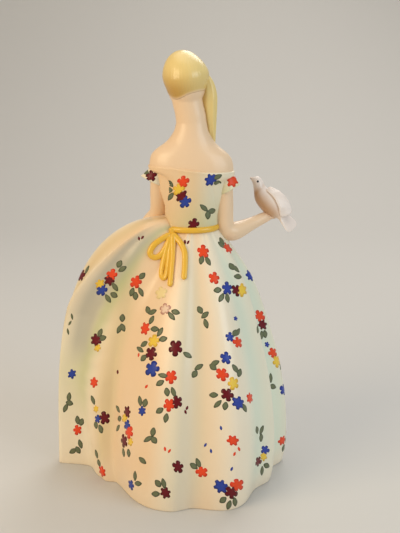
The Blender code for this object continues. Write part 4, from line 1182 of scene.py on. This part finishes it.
# Share of the length, half width, half height and rise, the last three as shares of the body's radius
BIRD_STATIONS = (
    (0.025, 0.05, 0.05, 0.27), (0.045, 0.14, 0.13, 0.30), (0.065, 0.26, 0.24, 0.40),
    (0.09, 0.37, 0.35, 0.47), (0.13, 0.45, 0.43, 0.45), (0.165, 0.50, 0.49, 0.36),
    (0.20, 0.56, 0.55, 0.26), (0.26, 0.68, 0.64, 0.06), (0.32, 0.82, 0.76, -0.03),
    (0.40, 0.95, 0.90, 0.0), (0.48, 1.00, 0.95, 0.02), (0.57, 0.98, 0.94, 0.02),
    (0.66, 0.86, 0.74, 0.04), (0.73, 0.74, 0.46, 0.03), (0.79, 0.76, 0.24, 0.0),
    (0.87, 0.92, 0.16, -0.02), (0.93, 1.00, 0.13, -0.04), (0.97, 0.94, 0.11, -0.05),
    (0.993, 0.72, 0.09, -0.05), (1.004, 0.40, 0.06, -0.05),
)
BIRD_SIDES, BIRD_ROWS = 72, 120
TAIL_START, TAIL_SOFT, TAIL_ROLL = 0.70, 0.10, math.radians(-19)
TAIL_FEATHERS, TAIL_GROOVE_DEPTH, TAIL_GROOVE_SHARP = 4.5, 0.22 * MM, 5

right_palm = Vector(arm_line(*ARMS["right"])[-1][:3])
heading = Vector((math.cos(BIRD_TURN), math.sin(BIRD_TURN), 0))
perch = right_palm + heading * BIRD_FORWARD + Vector((0, 0, PERCH_PALM + BIRD_RADIUS - BIRD_SINK))
to_perch = Matrix.Translation(perch) @ Euler((0, -BIRD_PITCH, BIRD_TURN)).to_matrix().to_4x4()


def bird_place(angle, row):
    share, width, height, rise = smooth_curve(BIRD_STATIONS, row / BIRD_ROWS)
    if row in (0, BIRD_ROWS):
        width = height = 0
    turn = math.radians(angle)
    sideways, upwards = BIRD_RADIUS * width * math.cos(turn), BIRD_RADIUS * height * math.sin(turn)
    tail = ease((share - TAIL_START) / TAIL_SOFT)
    groove = -abs(math.cos(TAIL_FEATHERS * math.pi * math.cos(turn))) ** TAIL_GROOVE_SHARP
    if 0 < row < BIRD_ROWS:
        upwards += TAIL_GROOVE_DEPTH * groove * tail * math.sin(turn)
    roll = TAIL_ROLL * tail
    across = sideways * math.cos(roll) - upwards * math.sin(roll)
    up = sideways * math.sin(roll) + upwards * math.cos(roll)
    return to_perch @ Vector((BIRD_LENGTH * (BIRD_MIDDLE - share), across, up + BIRD_RADIUS * rise))


bird = pull_wall("dove_body", BIRD_SIDES, BIRD_ROWS)
shape_wall(bird, bird_place)
from_perch = to_perch.inverted()

# %% Tint the dove, with painted shade under its breast
BEAK_TAN, BEAK_FROM, BEAK_SOFT = 0.35, 21.9 * MM, 1.2 * MM
# Painted shade in the same tan on the lower body, from the throat back
BREAST_SHADE, BREAST_TOP, BREAST_BACK, BREAST_SOFT = 0.9, 6 * MM, -12 * MM, 9 * MM
THROAT_END, THROAT_SOFT = 19 * MM, 6 * MM
COLLAR_TAN, COLLAR_PLACE, COLLAR_SPREAD = 0.25, 13.6 * MM, 0.9 * MM


def tan_and_shade_at(point):
    spot = from_perch @ point
    beak = BEAK_TAN * ease((spot.x - BEAK_FROM) / BEAK_SOFT)
    breast = BREAST_SHADE * ease((BREAST_TOP - spot.z) / BREAST_SOFT)
    breast *= ease((spot.x - BREAST_BACK) / BREAST_SOFT) * ease((THROAT_END - spot.x) / THROAT_SOFT)
    return beak + breast + COLLAR_TAN * hill(spot.x - COLLAR_PLACE, COLLAR_SPREAD)


tint_points(bird, "tan_and_shade", tan_and_shade_at)
dress_piece(bird, bird_glaze, "bird", "bird_body")

# %% Wings of the dove
WING_SIDES, WING_ROWS, WING_THICKNESS = 72, 84, 1.15 * MM
FEATHERS, FEATHER_DEPTH, SCALE_DEPTH = 4, 0.20 * MM, 0.12 * MM
WING_LENGTH, WING_ROUND, WING_GAP, WING_STEP = 26 * MM, 3.2 * MM, 0.1 * MM, 0.02
# Shares of the way back where the long feathers start and the scales end
FEATHER_SLANT, FEATHER_SHARP, FEATHER_START, FEATHER_SOFT = 0.25, 7, 0.36, 0.12
SCALE_ROWS, SCALE_BEND, SCALE_WAVES, SCALE_END, SCALE_SOFT = 9, 0.5, 5, 0.40, 0.1
RELIEF_FROM, RELIEF_SOFT = 0.1, 0.3
# The two edges of a folded wing, from the shoulder to the tip: forward, sideways and up, in millimetres
WING_LOWER = (
    (10.8, 3.4, 4.6), (8.2, 5.0, 5.3), (4.0, 6.2, 5.9), (0.2, 6.9, 5.3), (-4.2, 7.1, 3.6),
    (-8.0, 6.4, 0.8), (-10.4, 5.4, 0.2),
)
WING_UPPER = (
    (10.4, 1.6, 6.4), (7.6, 0.6, 7.7), (2.6, 0.0, 9.9), (-2.6, -0.2, 10.3), (-7.0, 0.0, 9.3),
    (-10.8, 0.4, 7.4), (-13.4, 1.2, 5.2),
)


def wing_edge(edge, back):
    return Vector(smooth_curve(edge, back))


def make_wing(name, node, side):
    def place(angle, row):
        back = row / WING_ROWS
        turn = math.radians(angle)
        low, high = wing_edge(WING_LOWER, back) * MM, wing_edge(WING_UPPER, back) * MM
        ahead = wing_edge(WING_UPPER, back - WING_STEP) - wing_edge(WING_UPPER, back + WING_STEP)
        out = ahead.cross(high - low).normalized()
        if out.y < 0:
            out = -out
        half = round_end(back, WING_LENGTH, WING_ROUND) if 0 < row < WING_ROWS else 0
        across = math.cos(turn)
        lift = WING_THICKNESS * half * math.sin(turn) + WING_GAP
        if math.sin(turn) > RELIEF_FROM and half:
            feathers = -abs(math.cos(FEATHERS * math.pi * (across + FEATHER_SLANT * back))) ** FEATHER_SHARP
            feathers *= ease((back - FEATHER_START) / FEATHER_SOFT)
            bend = SCALE_BEND * math.cos(SCALE_WAVES * math.pi * across)
            scales = math.cos(2 * math.pi * (SCALE_ROWS * back + bend))
            scales *= ease((SCALE_END - back) / SCALE_SOFT)
            relief = FEATHER_DEPTH * feathers + SCALE_DEPTH * scales
            lift += ease((math.sin(turn) - RELIEF_FROM) / RELIEF_SOFT) * relief
        point = low.lerp(high, 0.5 + 0.5 * across * half) + out * lift
        return to_perch @ Vector((point.x, side * point.y, point.z))

    wing = pull_wall(name, WING_SIDES, WING_ROWS)
    shape_wall(wing, place)
    tint_points(wing, "tan_and_shade", lambda point: 0.0)
    dress_piece(wing, bird_glaze, "bird", node)


for name, side in (("left", 1), ("right", -1)):
    make_wing(f"dove_{name}_wing", f"bird_{name}_wing", side)

# %% [markdown]
# ## Ribbon
# The belt and the bow are strips of clay, rolled by hand, flattened a little and laid on the dress. The belt
# follows the waist. The middle lines of the bow are pixels of the photograph: the camera looks through them
# at the skirt, and what it meets is where the strip lies. The ring swept along them is wider than it is high.

# %% The belt
BELT_RADIUS, BELT_LIFT, BELT_SINK, BELT_FROM, BELT_TO = 1.9 * MM, 2.2 * MM, 1.2 * MM, 217, 495
BELT_SINK_SPREAD, BELT_LENGTH, BELT_FLAT, BELT_SIDES, BELT_ROWS = 25, 110 * MM, 0.78, 32, 220
STRIP_LIFT = 0.35


def belt_at(share):
    angle = mix(BELT_FROM, BELT_TO, share)
    height = WAIST_HEIGHT + BELT_LIFT
    up_share = max(0.0, (height - rim_height(angle)) / (neckline_height(angle) - rim_height(angle)))
    sink = BELT_SINK * hill(turn_from(angle, 0), BELT_SINK_SPREAD)
    radius = bodice_radius(angle, up_share) + STRIP_LIFT * BELT_RADIUS - sink
    size = BELT_RADIUS * round_end(share, BELT_LENGTH, BELT_RADIUS)
    return at_polar(TORSO_OFFSET, 0, angle, radius, height), Vector((0, 0, 1)), BELT_FLAT * size, size


belt = sweep("ribbon_belt", BELT_SIDES, BELT_ROWS, belt_at)
dress_piece(belt, ribbon_glaze, "ribbon", "belt")

# %% The bow
RIBBON_HALF_WIDTH, RIBBON_HALF_HEIGHT = 1.85 * MM, 1.2 * MM
STRIP_LENGTH, STRIP_SIDES, STRIP_ROWS = 34 * MM, 24, 96
# Lift of each strip over the skirt in millimetres, and the pixels of the photograph on its middle line
BOW_STRIPS = {
    "bow_side_loop": (0.5, (
        (171.5, 233.5), (161, 239.5), (154, 245), (150.4, 251), (151, 255.5), (156, 257.4), (162, 253.6),
        (167, 245), (171, 235.5),
    )),
    "bow_lower_loop": (0.75, (
        (171.2, 235), (166.3, 251), (162.8, 266), (162, 274.5), (163.8, 278), (166.5, 276), (168.4, 264),
        (170.3, 249), (172.2, 236),
    )),
    "bow_long_tail": (0.95, ((172.8, 234), (173.2, 253.6), (172, 270), (170.5, 287))),
    "bow_short_tail": (0.7, ((173, 234), (180, 242), (184.4, 251), (185, 264), (184, 280))),
}


@functools.cache
def skin_of(piece):
    """A search tree over the faces of a finished piece."""
    return BVHTree.FromObject(piece, bpy.context.evaluated_depsgraph_get())


def nearest(piece, point):
    """The spot of a finished piece nearest to a point, and the way out of it there."""
    return skin_of(piece).find_nearest(point)[:2]


def on_skirt(angle, height):
    """The point of the skirt's skin at an angle and a height, and the way out of it."""
    return nearest(skirt, at_polar(skirt_axis(height), 0, angle, skirt_radius(angle, height), height))


def make_strip(name, lift, points):
    def strip_at(share):
        place, normal = skirt.ray_cast(CAMERA_PLACE, sight_line(*smooth_curve(points, share)))[1:3]
        size = round_end(share, STRIP_LENGTH, RIBBON_HALF_WIDTH)
        return place + normal * lift * MM, normal, RIBBON_HALF_WIDTH * size, RIBBON_HALF_HEIGHT * size

    strip = sweep("ribbon_" + name, STRIP_SIDES, STRIP_ROWS, strip_at)
    dress_piece(strip, ribbon_glaze, "ribbon", name)


bpy.context.view_layer.update()
for name, (lift, points) in BOW_STRIPS.items():
    make_strip(name, lift, points)

# %% The knot
KNOT_PIXEL, KNOT_HALF_WIDTH, KNOT_HALF_HEIGHT = (172, 232), 2.6 * MM, 2.7 * MM
KNOT_SIDES, KNOT_ROWS = 48, 32
KNOT_PINCH, KNOT_PINCH_SPREAD, KNOT_FOLDS, KNOT_FOLD_DEPTH = 0.16, 0.28, 6, 0.05
knot_place, knot_normal = skirt.ray_cast(CAMERA_PLACE, sight_line(*KNOT_PIXEL))[1:3]


def knot_place_at(angle, row):
    fall = math.pi * row / KNOT_ROWS
    turn = math.radians(angle)
    folds = KNOT_FOLD_DEPTH * math.cos(KNOT_FOLDS * turn) * math.sin(fall)
    pinch = 1 - KNOT_PINCH * hill(math.cos(fall), KNOT_PINCH_SPREAD) + folds
    flat = math.sin(fall) * KNOT_HALF_WIDTH * pinch
    shape = Vector((flat * math.cos(turn), flat * math.sin(turn), KNOT_HALF_HEIGHT * math.cos(fall)))
    return knot_place + knot_normal * STRIP_LIFT * KNOT_HALF_WIDTH + shape


knot = pull_wall("ribbon_knot", KNOT_SIDES, KNOT_ROWS)
shape_wall(knot, knot_place_at)
dress_piece(knot, ribbon_glaze, "ribbon", "bow_knot")

# %% [markdown]
# ## Painted flowers
# Small flowers and leaves are strewn over the whole dress, each a few dabs of a loaded brush. A picture could
# be wrapped round the dress, but it would stretch on the folds. So each dab is a thin disc of its own: one
# disc is modelled once, copied, cut to petals or to a leaf, and laid on the cloth point by point. The places
# on the back are read through the camera: a line from the eye through a pixel meets the cloth where the
# painter put the brush.

# %% One dab of paint
PAINT_HEIGHT, PAINT_RIM, PAINT_SINK, MOST_STRETCH = 0.14 * MM, 0.05 * MM, 0.12 * MM, 1.35
FLOWER_POINTS, LEAF_POINTS, DAB_RING, RIM_START, RIM_SOFT = 30, 16, 0.45, 0.5, 0.4


def make_dab(name, points):
    """A disc with a bottom face, a rim, an inner ring and a middle point."""
    bpy.ops.object.select_all(action="DESELECT")
    bpy.ops.mesh.primitive_circle_add(vertices=points, radius=1, fill_type="NGON", location=(0, 0, 0))
    dab = bpy.context.object
    dab.name = name
    bpy.ops.object.mode_set(mode="EDIT")
    bpy.ops.mesh.select_all(action="SELECT")
    bpy.ops.mesh.extrude_region_move(TRANSFORM_OT_translate={"value": (0, 0, 1)})
    bpy.ops.mesh.inset(thickness=DAB_RING)
    bpy.ops.mesh.poke()
    bpy.ops.mesh.select_all(action="SELECT")
    bpy.ops.mesh.normals_make_consistent(inside=False)
    bpy.ops.object.mode_set(mode="OBJECT")
    rim = dab.data.attributes.new("rim", "FLOAT", "POINT")
    for vertex in dab.data.vertices:
        rim.data[vertex.index].value = ease((math.hypot(vertex.co.x, vertex.co.y) - RIM_START) / RIM_SOFT)
    return dab


flower_dab, leaf_dab = make_dab("flower_dab", FLOWER_POINTS), make_dab("leaf_dab", LEAF_POINTS)
print("a flower has", len(flower_dab.data.polygons), "faces, a leaf", len(leaf_dab.data.polygons))

# %% Outlines of the dabs
# For flowers with 5 and 6 petals: how wide the notches are, and how far in they reach
NOTCH, PETAL_ROOT = {5: 0.0, 6: 0.31}, {5: 0.54, 6: 0.68}
PETAL_TIP, PETAL_ROUND, PETAL_UNEVEN, PETAL_TURN = 0.98, 0.42, 0.10, 1.7
LEAF_DRAWN = 0.11


def petals(count, number):
    """Outline of a flower. The notches between its petals fall on points of the disc."""
    def cut(x, y):
        around = math.atan2(x, y)
        lobe = max(0.0, abs(math.cos(0.5 * count * around)) - NOTCH[count]) / (1 - NOTCH[count])
        uneven = 1 + PETAL_UNEVEN * math.sin(2 * around + PETAL_TURN * number)
        return mix(PETAL_ROOT[count], PETAL_TIP, lobe**PETAL_ROUND) * uneven
    return cut


def whole(x, y):
    """Outline of a plain round dab."""
    return 1


def almond(x, y):
    """Outline of a leaf: full in the middle, drawn out to two tips."""
    return 1 - LEAF_DRAWN * (2 * x * y) ** 2


# %% Lay a dab on a surface
NO_STRETCH, LEAST_FACING = Vector((0, 0, 0)), 0.1


def slant(place, normal):
    """The way in which the eye sees this spot shortened, and how far a dab is drawn out to match."""
    eye = (place - CAMERA_PLACE).normalized()
    way = eye - normal * eye.dot(normal)
    facing = max(LEAST_FACING, abs(eye.dot(normal)))
    return way.normalized() * (min(MOST_STRETCH, 1 / facing) - 1) ** 0.5


def lay_dab(dab, carrier, place, normal, along, length, width, cut, drawn_out=NO_STRETCH, layer=0):
    """Copies the dab, presses its points on to the carrier, and lifts each face that would sink in."""
    across = normal.cross(along).normalized()
    along = across.cross(normal).normalized()
    copy = dab.copy()
    copy.data = dab.data.copy()
    bpy.context.collection.objects.link(copy)
    for vertex in copy.data.vertices:
        x, y, z = vertex.co
        share = cut(x, y)
        offset = along * x * share * length + across * y * share * width
        guess = place + offset + drawn_out * offset.dot(drawn_out)
        spot, out = nearest(carrier, guess)
        lift = -PAINT_SINK
        if z > 0.5:
            lift = mix(PAINT_HEIGHT, PAINT_RIM, min(1.0, math.hypot(x, y))) + layer * PAINT_RIM
        vertex.co = spot + out * lift
    for flat, face in zip(dab.data.polygons, copy.data.polygons):
        if flat.normal.z > 0.5:
            spot, out = nearest(carrier, face.center)
            short = PAINT_RIM * (1 + layer) - (face.center - spot).dot(out)
            for corner in face.vertices if short > 0 else ():
                copy.data.vertices[corner].co += out * short
    return copy


def finish_paint(name, dabs, glaze, slot):
    """Joins all dabs of one colour."""
    paint = join_pieces(*dabs)
    paint.name = paint.data.name = name
    close_wall(paint)
    dress_piece(paint, glaze, slot)


# %% Places on the back
# Pixels of the photograph at the middle of each flower, leaf and dash, and its size if that isn't 1
FLOWERS = {
    "orange": (
        (183, 182), (233, 181), (111.7, 275), (136, 282), (145, 328.6), (171, 377), (169, 405),
        (94, 382.5, 0.8), (77.6, 430, 0.85), (129, 432), (102, 471.5), (203.3, 251.6), (214.3, 278),
        (228, 248), (238, 342.4), (222.3, 374.5), (249.8, 398), (259.6, 316), (273, 352.7),
        (233, 440.6, 0.85), (201.8, 472), (237.6, 485), (282.4, 440.6),
    ),
    "maroon": (
        (151, 176), (181.4, 196), (193.5, 224.6), (81.6, 275.5), (109.7, 279.6), (151, 353.6),
        (175.5, 348, 1.25), (96, 340), (177, 402), (104.5, 418), (127, 412), (124, 441), (178, 467),
        (165.4, 493, 0.85), (236.3, 290.5), (227.3, 394.7), (262.4, 324.6), (231.4, 492.7), (258, 461.5),
    ),
    "blue": (
        (185, 202), (210.7, 180), (102, 290), (152, 369, 1.2), (72, 374, 0.8), (97.6, 419, 0.7),
        (127, 425, 0.85), (142, 411, 0.7), (131, 485, 0.85), (227.3, 288.4), (250, 275.5), (230, 337, 0.7),
        (226, 358), (238.6, 403), (267, 344.5, 0.5), (283.5, 389.6), (220.7, 486.5, 1.2), (265, 450, 0.8),
        (235.6, 318.5, 0.45),
    ),
    "yellow": (
        (178.5, 189.6), (100, 284, 0.8), (153.6, 341), (97.4, 348, 0.6), (96, 409, 0.6), (124.6, 418, 0.75),
        (130.4, 442, 0.65), (242, 290), (233.5, 383.5), (277, 361.5), (263.6, 456.4, 0.8),
    ),
    "pale": ((161, 293),),
    "faded": ((165, 309, 0.9),),
}
LEAVES = (
    (146, 172), (170, 183), (169, 190), (170.5, 196.5), (217.6, 177), (217.6, 183), (204, 208),
    (208, 215), (212, 211), (87, 270), (119.4, 264), (122.4, 269), (115, 287), (114, 295), (108, 298.5),
    (132, 292), (135.5, 296), (141, 292), (142, 276), (175.5, 312), (171.4, 316), (148, 310),
    (152.5, 312), (151.5, 320), (122.4, 318), (119.4, 329), (123, 327.6), (154.6, 329), (160, 332),
    (163, 339), (144, 344), (140, 349.5), (143.4, 358), (187.5, 355), (100, 333), (102.6, 338),
    (163, 375.6), (160, 383), (167, 392), (173.4, 392), (159.6, 410.6), (166, 418), (69, 397),
    (69.5, 403), (65.5, 408), (77.6, 420), (81.6, 422), (80.4, 444), (73, 451), (78, 450), (93, 400),
    (96, 425), (100.5, 429), (118, 409), (119.5, 418.6), (118, 428), (123.5, 452.5), (128.6, 453),
    (140, 401), (145, 403), (153, 432), (148, 439), (154, 440), (142.4, 460.5), (96.5, 454), (99, 463),
    (135, 476), (138, 483.5), (158, 483.5), (163.7, 483.5), (155.6, 494), (201.5, 260), (208, 261),
    (217.7, 290), (221.5, 297.5), (227.5, 298), (231.7, 266.5), (236.2, 268.7), (238.2, 276.5),
    (222, 241), (222, 245), (200, 310), (205, 315), (206, 323.6), (235, 333), (238, 332), (215, 363),
    (213, 367), (235.5, 368.7), (239.6, 372.8), (213.6, 395), (217.7, 404), (225.3, 406), (244.7, 408),
    (198.8, 367), (194.6, 374), (258, 328.7), (261.6, 335), (265, 334), (270.7, 378), (272.8, 386.5),
    (193.7, 466), (198.3, 463), (223, 500), (229, 505), (235, 502), (257, 430), (261.5, 430),
    (261, 437.6), (266.6, 465.6), (262, 470.7), (283.5, 448),
)
DASHES = {
    "orange": ((138.6, 355), (146.4, 386.5), (165, 449), (169.4, 451), (239, 449), (234.5, 454)),
    "maroon": (
        (139, 238.5), (142.5, 237.5), (185, 242), (188.2, 242.3), (117.7, 372), (187, 408), (185.5, 412),
    ),
    "blue": ((221, 428), (205.4, 445), (211, 451), (231.7, 469)),
    "leaf": ((72, 316.5, 1.6), (70, 323, 1.3), (68, 331.5, 1.6)),
}
flower_count, dash_count = (sum(map(len, places.values())) for places in (FLOWERS, DASHES))
print(flower_count, "flowers,", len(LEAVES), "leaves and", dash_count, "dashes")

# %% Paint the back
FLOWER_RADIUS, LEAF_HALF_LENGTH, LEAF_HALF_WIDTH = 4.1 * MM, 3.0 * MM, 1.75 * MM
DASH_HALF_LENGTH, DASH_HALF_WIDTH = 1.4 * MM, 0.75 * MM
DASH_WAYS = (Vector((-0.2, 0, 0.95)), Vector((0.5, 0, 0.85)))
# How much flowers and leaves differ in size, and how fast that changes from one to the next
FLOWER_VARIES, FLOWER_RHYTHM, LEAF_VARIES, LEAF_RHYTHM = 0.10, 3.1, 0.12, 2.3
NEAR_PIXELS, MIDDLE_PIXEL, STEP_PIXEL, SEEK_STEPS, SEEK_PIXEL, SAME_PIXEL = 17, 172, 1.5, 8, 0.7, 0.5
# Each flower is turned on from the one before. On cloth that faces sideways its turn is counted from Y.
FACING_SIDEWAYS = 0.8
GOLDEN_TURN = math.radians(137.5)
cloths = (skirt, bodice, *sleeves)
dabs = {colour: [] for colour in (*FLOWERS, "leaf")}
bpy.context.view_layer.update()


def seen_at(pixel_x, pixel_y):
    """What the camera sees of the dress at a pixel. A pixel just off the edge is moved inwards."""
    for step in range(SEEK_STEPS):
        line = sight_line(pixel_x, pixel_y)
        hits = [(cloth, *cloth.ray_cast(CAMERA_PLACE, line)) for cloth in cloths]
        hits = [(cloth, place, normal) for cloth, found, place, normal, face in hits if found]
        if hits:
            return min(hits, key=lambda hit: (hit[1] - CAMERA_PLACE).length)
        pixel_x += math.copysign(SEEK_PIXEL, MIDDLE_PIXEL - pixel_x)


def paint_flower(colour, carrier, place, normal, number, size=1.0, drawn_out=NO_STRETCH):
    along = Vector((1, 0, 0)) if abs(normal.x) < FACING_SIDEWAYS else Vector((0, 1, 0))
    along.rotate(Matrix.Rotation(number * GOLDEN_TURN, 3, normal))
    radius = FLOWER_RADIUS * size * (1 + FLOWER_VARIES * math.sin(FLOWER_RHYTHM * number))
    cut = petals(5 + number % 3 % 2, number)
    dabs[colour].append(lay_dab(
        flower_dab, carrier, place, normal, along, radius, radius, cut, drawn_out))


def paint_leaf(carrier, place, normal, along, number, drawn_out=NO_STRETCH):
    grow = 1 + LEAF_VARIES * math.sin(LEAF_RHYTHM * number)
    length, width = LEAF_HALF_LENGTH * grow, LEAF_HALF_WIDTH * (2 - grow)
    dabs["leaf"].append(lay_dab(
        leaf_dab, carrier, place, normal, along, length, width, almond, drawn_out))


def away_from_stem(pixel):
    """Leaves point away from the nearest flower, or else from the middle of their own group."""
    spots = [spot[:2] for places in FLOWERS.values() for spot in places]
    stem = min(spots, key=lambda spot: math.dist(spot, pixel))
    if math.dist(stem, pixel) > NEAR_PIXELS:
        group = [leaf for leaf in LEAVES if math.dist(leaf, pixel) < NEAR_PIXELS]
        stem = [sum(axis) / len(group) for axis in zip(*group)]
    way = Vector(pixel) - Vector(stem)
    return way.normalized() if way.length > SAME_PIXEL else Vector((0, 1))


for colour, places in FLOWERS.items():
    for number, pixel in enumerate(places):
        carrier, place, normal = seen_at(*pixel[:2])
        paint_flower(colour, carrier, place, normal, number, *pixel[2:] or (1.0,), slant(place, normal))
for number, pixel in enumerate(LEAVES):
    carrier, place, normal = seen_at(*pixel)
    way = away_from_stem(pixel) * STEP_PIXEL
    ahead = sight_line(pixel[0] + way.x, pixel[1] + way.y) - sight_line(*pixel)
    paint_leaf(carrier, place, normal, ahead, number, slant(place, normal))
for colour, places in DASHES.items():
    for number, pixel in enumerate(places):
        carrier, place, normal = seen_at(*pixel[:2])
        length = DASH_HALF_LENGTH * (*pixel[2:], 1.0)[0]
        dabs[colour].append(lay_dab(
            leaf_dab, carrier, place, normal, DASH_WAYS[number % 2], length, DASH_HALF_WIDTH, almond,
            slant(place, normal)))
print({colour: len(made) for colour, made in dabs.items()})

# %% [markdown]
# The front can't be seen in the picture, so its sprays are our own, in the same colours, sizes and spacing.
# They stand in staggered rows, and six small sprays take turns. The face is painted last, with the finest
# brush.

# %% Paint the front
# Height of each row of sprays in millimetres, the angle of its first spray and the step to the next
FRONT_ROWS = ((21, 8, 25), (47, 20, 26), (73, 10, 29), (98, 24, 33), (121, 12, 40), (142, 34, 52))
FRONT_END = 168
# Flowers as colour, right, up and size, then leaves as right and up, in millimetres
SPRAYS = (
    ((("orange", 0, 0, 1.0),), ((-3.6, -5.4), (3.4, -5.6))),
    (
        (("maroon", -0.6, 4.6, 0.9), ("yellow", 3.0, 0.4, 0.7), ("blue", -1.6, -3.4, 0.95)),
        ((-6.4, 1.5), (-6.4, -5), (4.6, -5.8)),
    ),
    ((), ((-3.2, 0.6), (1.0, 3.8), (2.6, -2.2))),
    ((("blue", 0, 0, 0.9),), ((-2.8, 5.2), (2.6, 5.4))),
    ((("orange", -2.8, 1.8, 0.95), ("maroon", 3.0, -2.4, 0.9)), ((-7, -2.8), (-2.0, -6.4), (6.6, 2.4))),
    ((("yellow", 0, 2.6, 0.75), ("maroon", 0.4, -3.4, 0.9)), ((4.8, 4.4), (5.8, -0.6))),
)
# Sprays on the front of the bodice: which one, how far right and how far above the waist, in millimetres
BODICE_SPRAYS = ((1, -7.5, 24), (0, 7, 27), (2, 5.5, 13))
FRONT_WAY, FRONT_START = Vector((0, -1, 0)), Vector((0, 0.2, 0))


def paint_spray(carrier, place, normal, spray_number, number):
    flowers, leaves = SPRAYS[spray_number % len(SPRAYS)]
    side = Vector((0, 0, 1)).cross(normal).normalized()
    rise = normal.cross(side)
    for colour, right, up, size in flowers:
        spot, out = nearest(carrier, place + (side * right + rise * up) * MM)
        paint_flower(colour, carrier, spot, out, number + len(dabs[colour]), size)
    for right, up in leaves:
        way = (side * right + rise * up) * MM
        spot, out = nearest(carrier, place + way)
        paint_leaf(carrier, spot, out, way, number)


for row, (height, first, step) in enumerate(FRONT_ROWS):
    for number, angle in enumerate(range(first, FRONT_END, step)):
        paint_spray(skirt, *on_skirt(angle, height * MM), number + 2 * row, number + row)
for number, (spray_number, right, up) in enumerate(BODICE_SPRAYS):
    start = FRONT_START + Vector((TORSO_OFFSET - right * MM, 0, WAIST_HEIGHT + up * MM))
    paint_spray(bodice, *bodice.ray_cast(start, FRONT_WAY)[1:3], spray_number, number)
print({colour: len(made) for colour, made in dabs.items()})

# %% Paint the face and the dove's eyes
# Each stroke: sideways, height, half length, half width, slope, layer, in millimetres from the head's middle
EYE_X, EYE_Z, BROW_Z, MOUTH_Z = EYE_APART / MM, EYE_LINE / MM, BROW_LINE / MM, MOUTH_LINE / MM
FACE_STROKES = {
    "eye_white": ((EYE_X, EYE_Z, 1.75, 0.85, 0.0, 0),),
    "iris": ((EYE_X, EYE_Z, 0.82, 0.82, 0.0, 1),),
    "pupil": ((EYE_X, EYE_Z, 0.40, 0.40, 0.0, 2),),
    "lash": ((EYE_X + 0.15, EYE_Z + 0.80, 2.0, 0.26, -0.02, 2),),
    "brow": ((EYE_X + 0.2, BROW_Z + 0.8, 2.5, 0.30, 0.06, 0),),
    "lips": ((1.15, MOUTH_Z + 0.50, 1.55, 0.46, -0.14, 0), (0.0, MOUTH_Z - 0.66, 2.0, 0.56, 0.0, 0)),
}
FACE_PAINTS = {
    "eye_white": (0.86, 0.82, 0.76), "iris": (0.09, 0.16, 0.26), "pupil": (0.02, 0.015, 0.012),
    "lash": (0.11, 0.05, 0.02), "brow": (0.38, 0.21, 0.07), "lips": (0.70, 0.17, 0.12),
}
DOVE_EYE, DOVE_EYE_RADIUS = Vector((18.3, 3.9, 5.1)) * MM, 0.75 * MM
ROUND_STROKES = ("iris", "pupil")
PAINT_THIN = 0.9
bpy.context.view_layer.update()


def thinned(colour):
    return tuple(PAINT_THIN * part for part in colour)


face_glazes = {
    name: make_glaze("paint_" + name, colour, thinned(colour)) for name, colour in FACE_PAINTS.items()
}
for name, strokes in FACE_STROKES.items():
    laid = []
    for x, z, length, width, slope, layer in strokes:
        for mirror in (1, -1) if x else (1,):
            start = HEAD_CENTRE + FRONT_START + Vector((mirror * x, 0, z)) * MM
            place, normal = bust.ray_cast(start, FRONT_WAY)[1:3]
            along = Vector((1, 0, mirror * slope))
            cut = whole if name in ROUND_STROKES else almond
            laid.append(lay_dab(
                leaf_dab, bust, place, normal, along, length * MM, width * MM, cut, layer=layer))
    finish_paint("face_" + name, laid, face_glazes[name], "skin")
eyes = []
for side in (1, -1):
    place, normal = nearest(bird, to_perch @ (DOVE_EYE * Vector((1, side, 1))))
    eyes.append(lay_dab(
        leaf_dab, bird, place, normal, Vector((0, 0, 1)), DOVE_EYE_RADIUS, DOVE_EYE_RADIUS, whole))
finish_paint("dove_eyes", eyes, face_glazes["pupil"], "bird")

# %% Paint colours
PAINT_COAT, PAINT_SHINE = 0.0, 0.25
# Colour of each paint in the middle of a dab and at its rim
PAINTS = {
    "orange": ((0.84, 0.075, 0.02), (0.66, 0.035, 0.01)),
    "maroon": ((0.15, 0.006, 0.012), (0.07, 0.003, 0.006)),
    "blue": ((0.030, 0.062, 0.36), (0.015, 0.028, 0.20)),
    "yellow": ((0.88, 0.60, 0.07), (0.74, 0.42, 0.04)),
    "pale": ((0.88, 0.70, 0.34), (0.86, 0.66, 0.32)),
    "faded": ((0.84, 0.62, 0.46), (0.46, 0.16, 0.12)),
    "leaf": ((0.155, 0.175, 0.095), (0.055, 0.07, 0.035)),
}
for colour, (middle, rim) in PAINTS.items():
    glaze = make_glaze("paint_" + colour, middle, thinned(middle), (("rim", rim),), PAINT_COAT, PAINT_SHINE)
    finish_paint("painted_" + colour, dabs[colour], glaze, "dress")
for dab in (flower_dab, leaf_dab):
    bpy.data.objects.remove(dab)
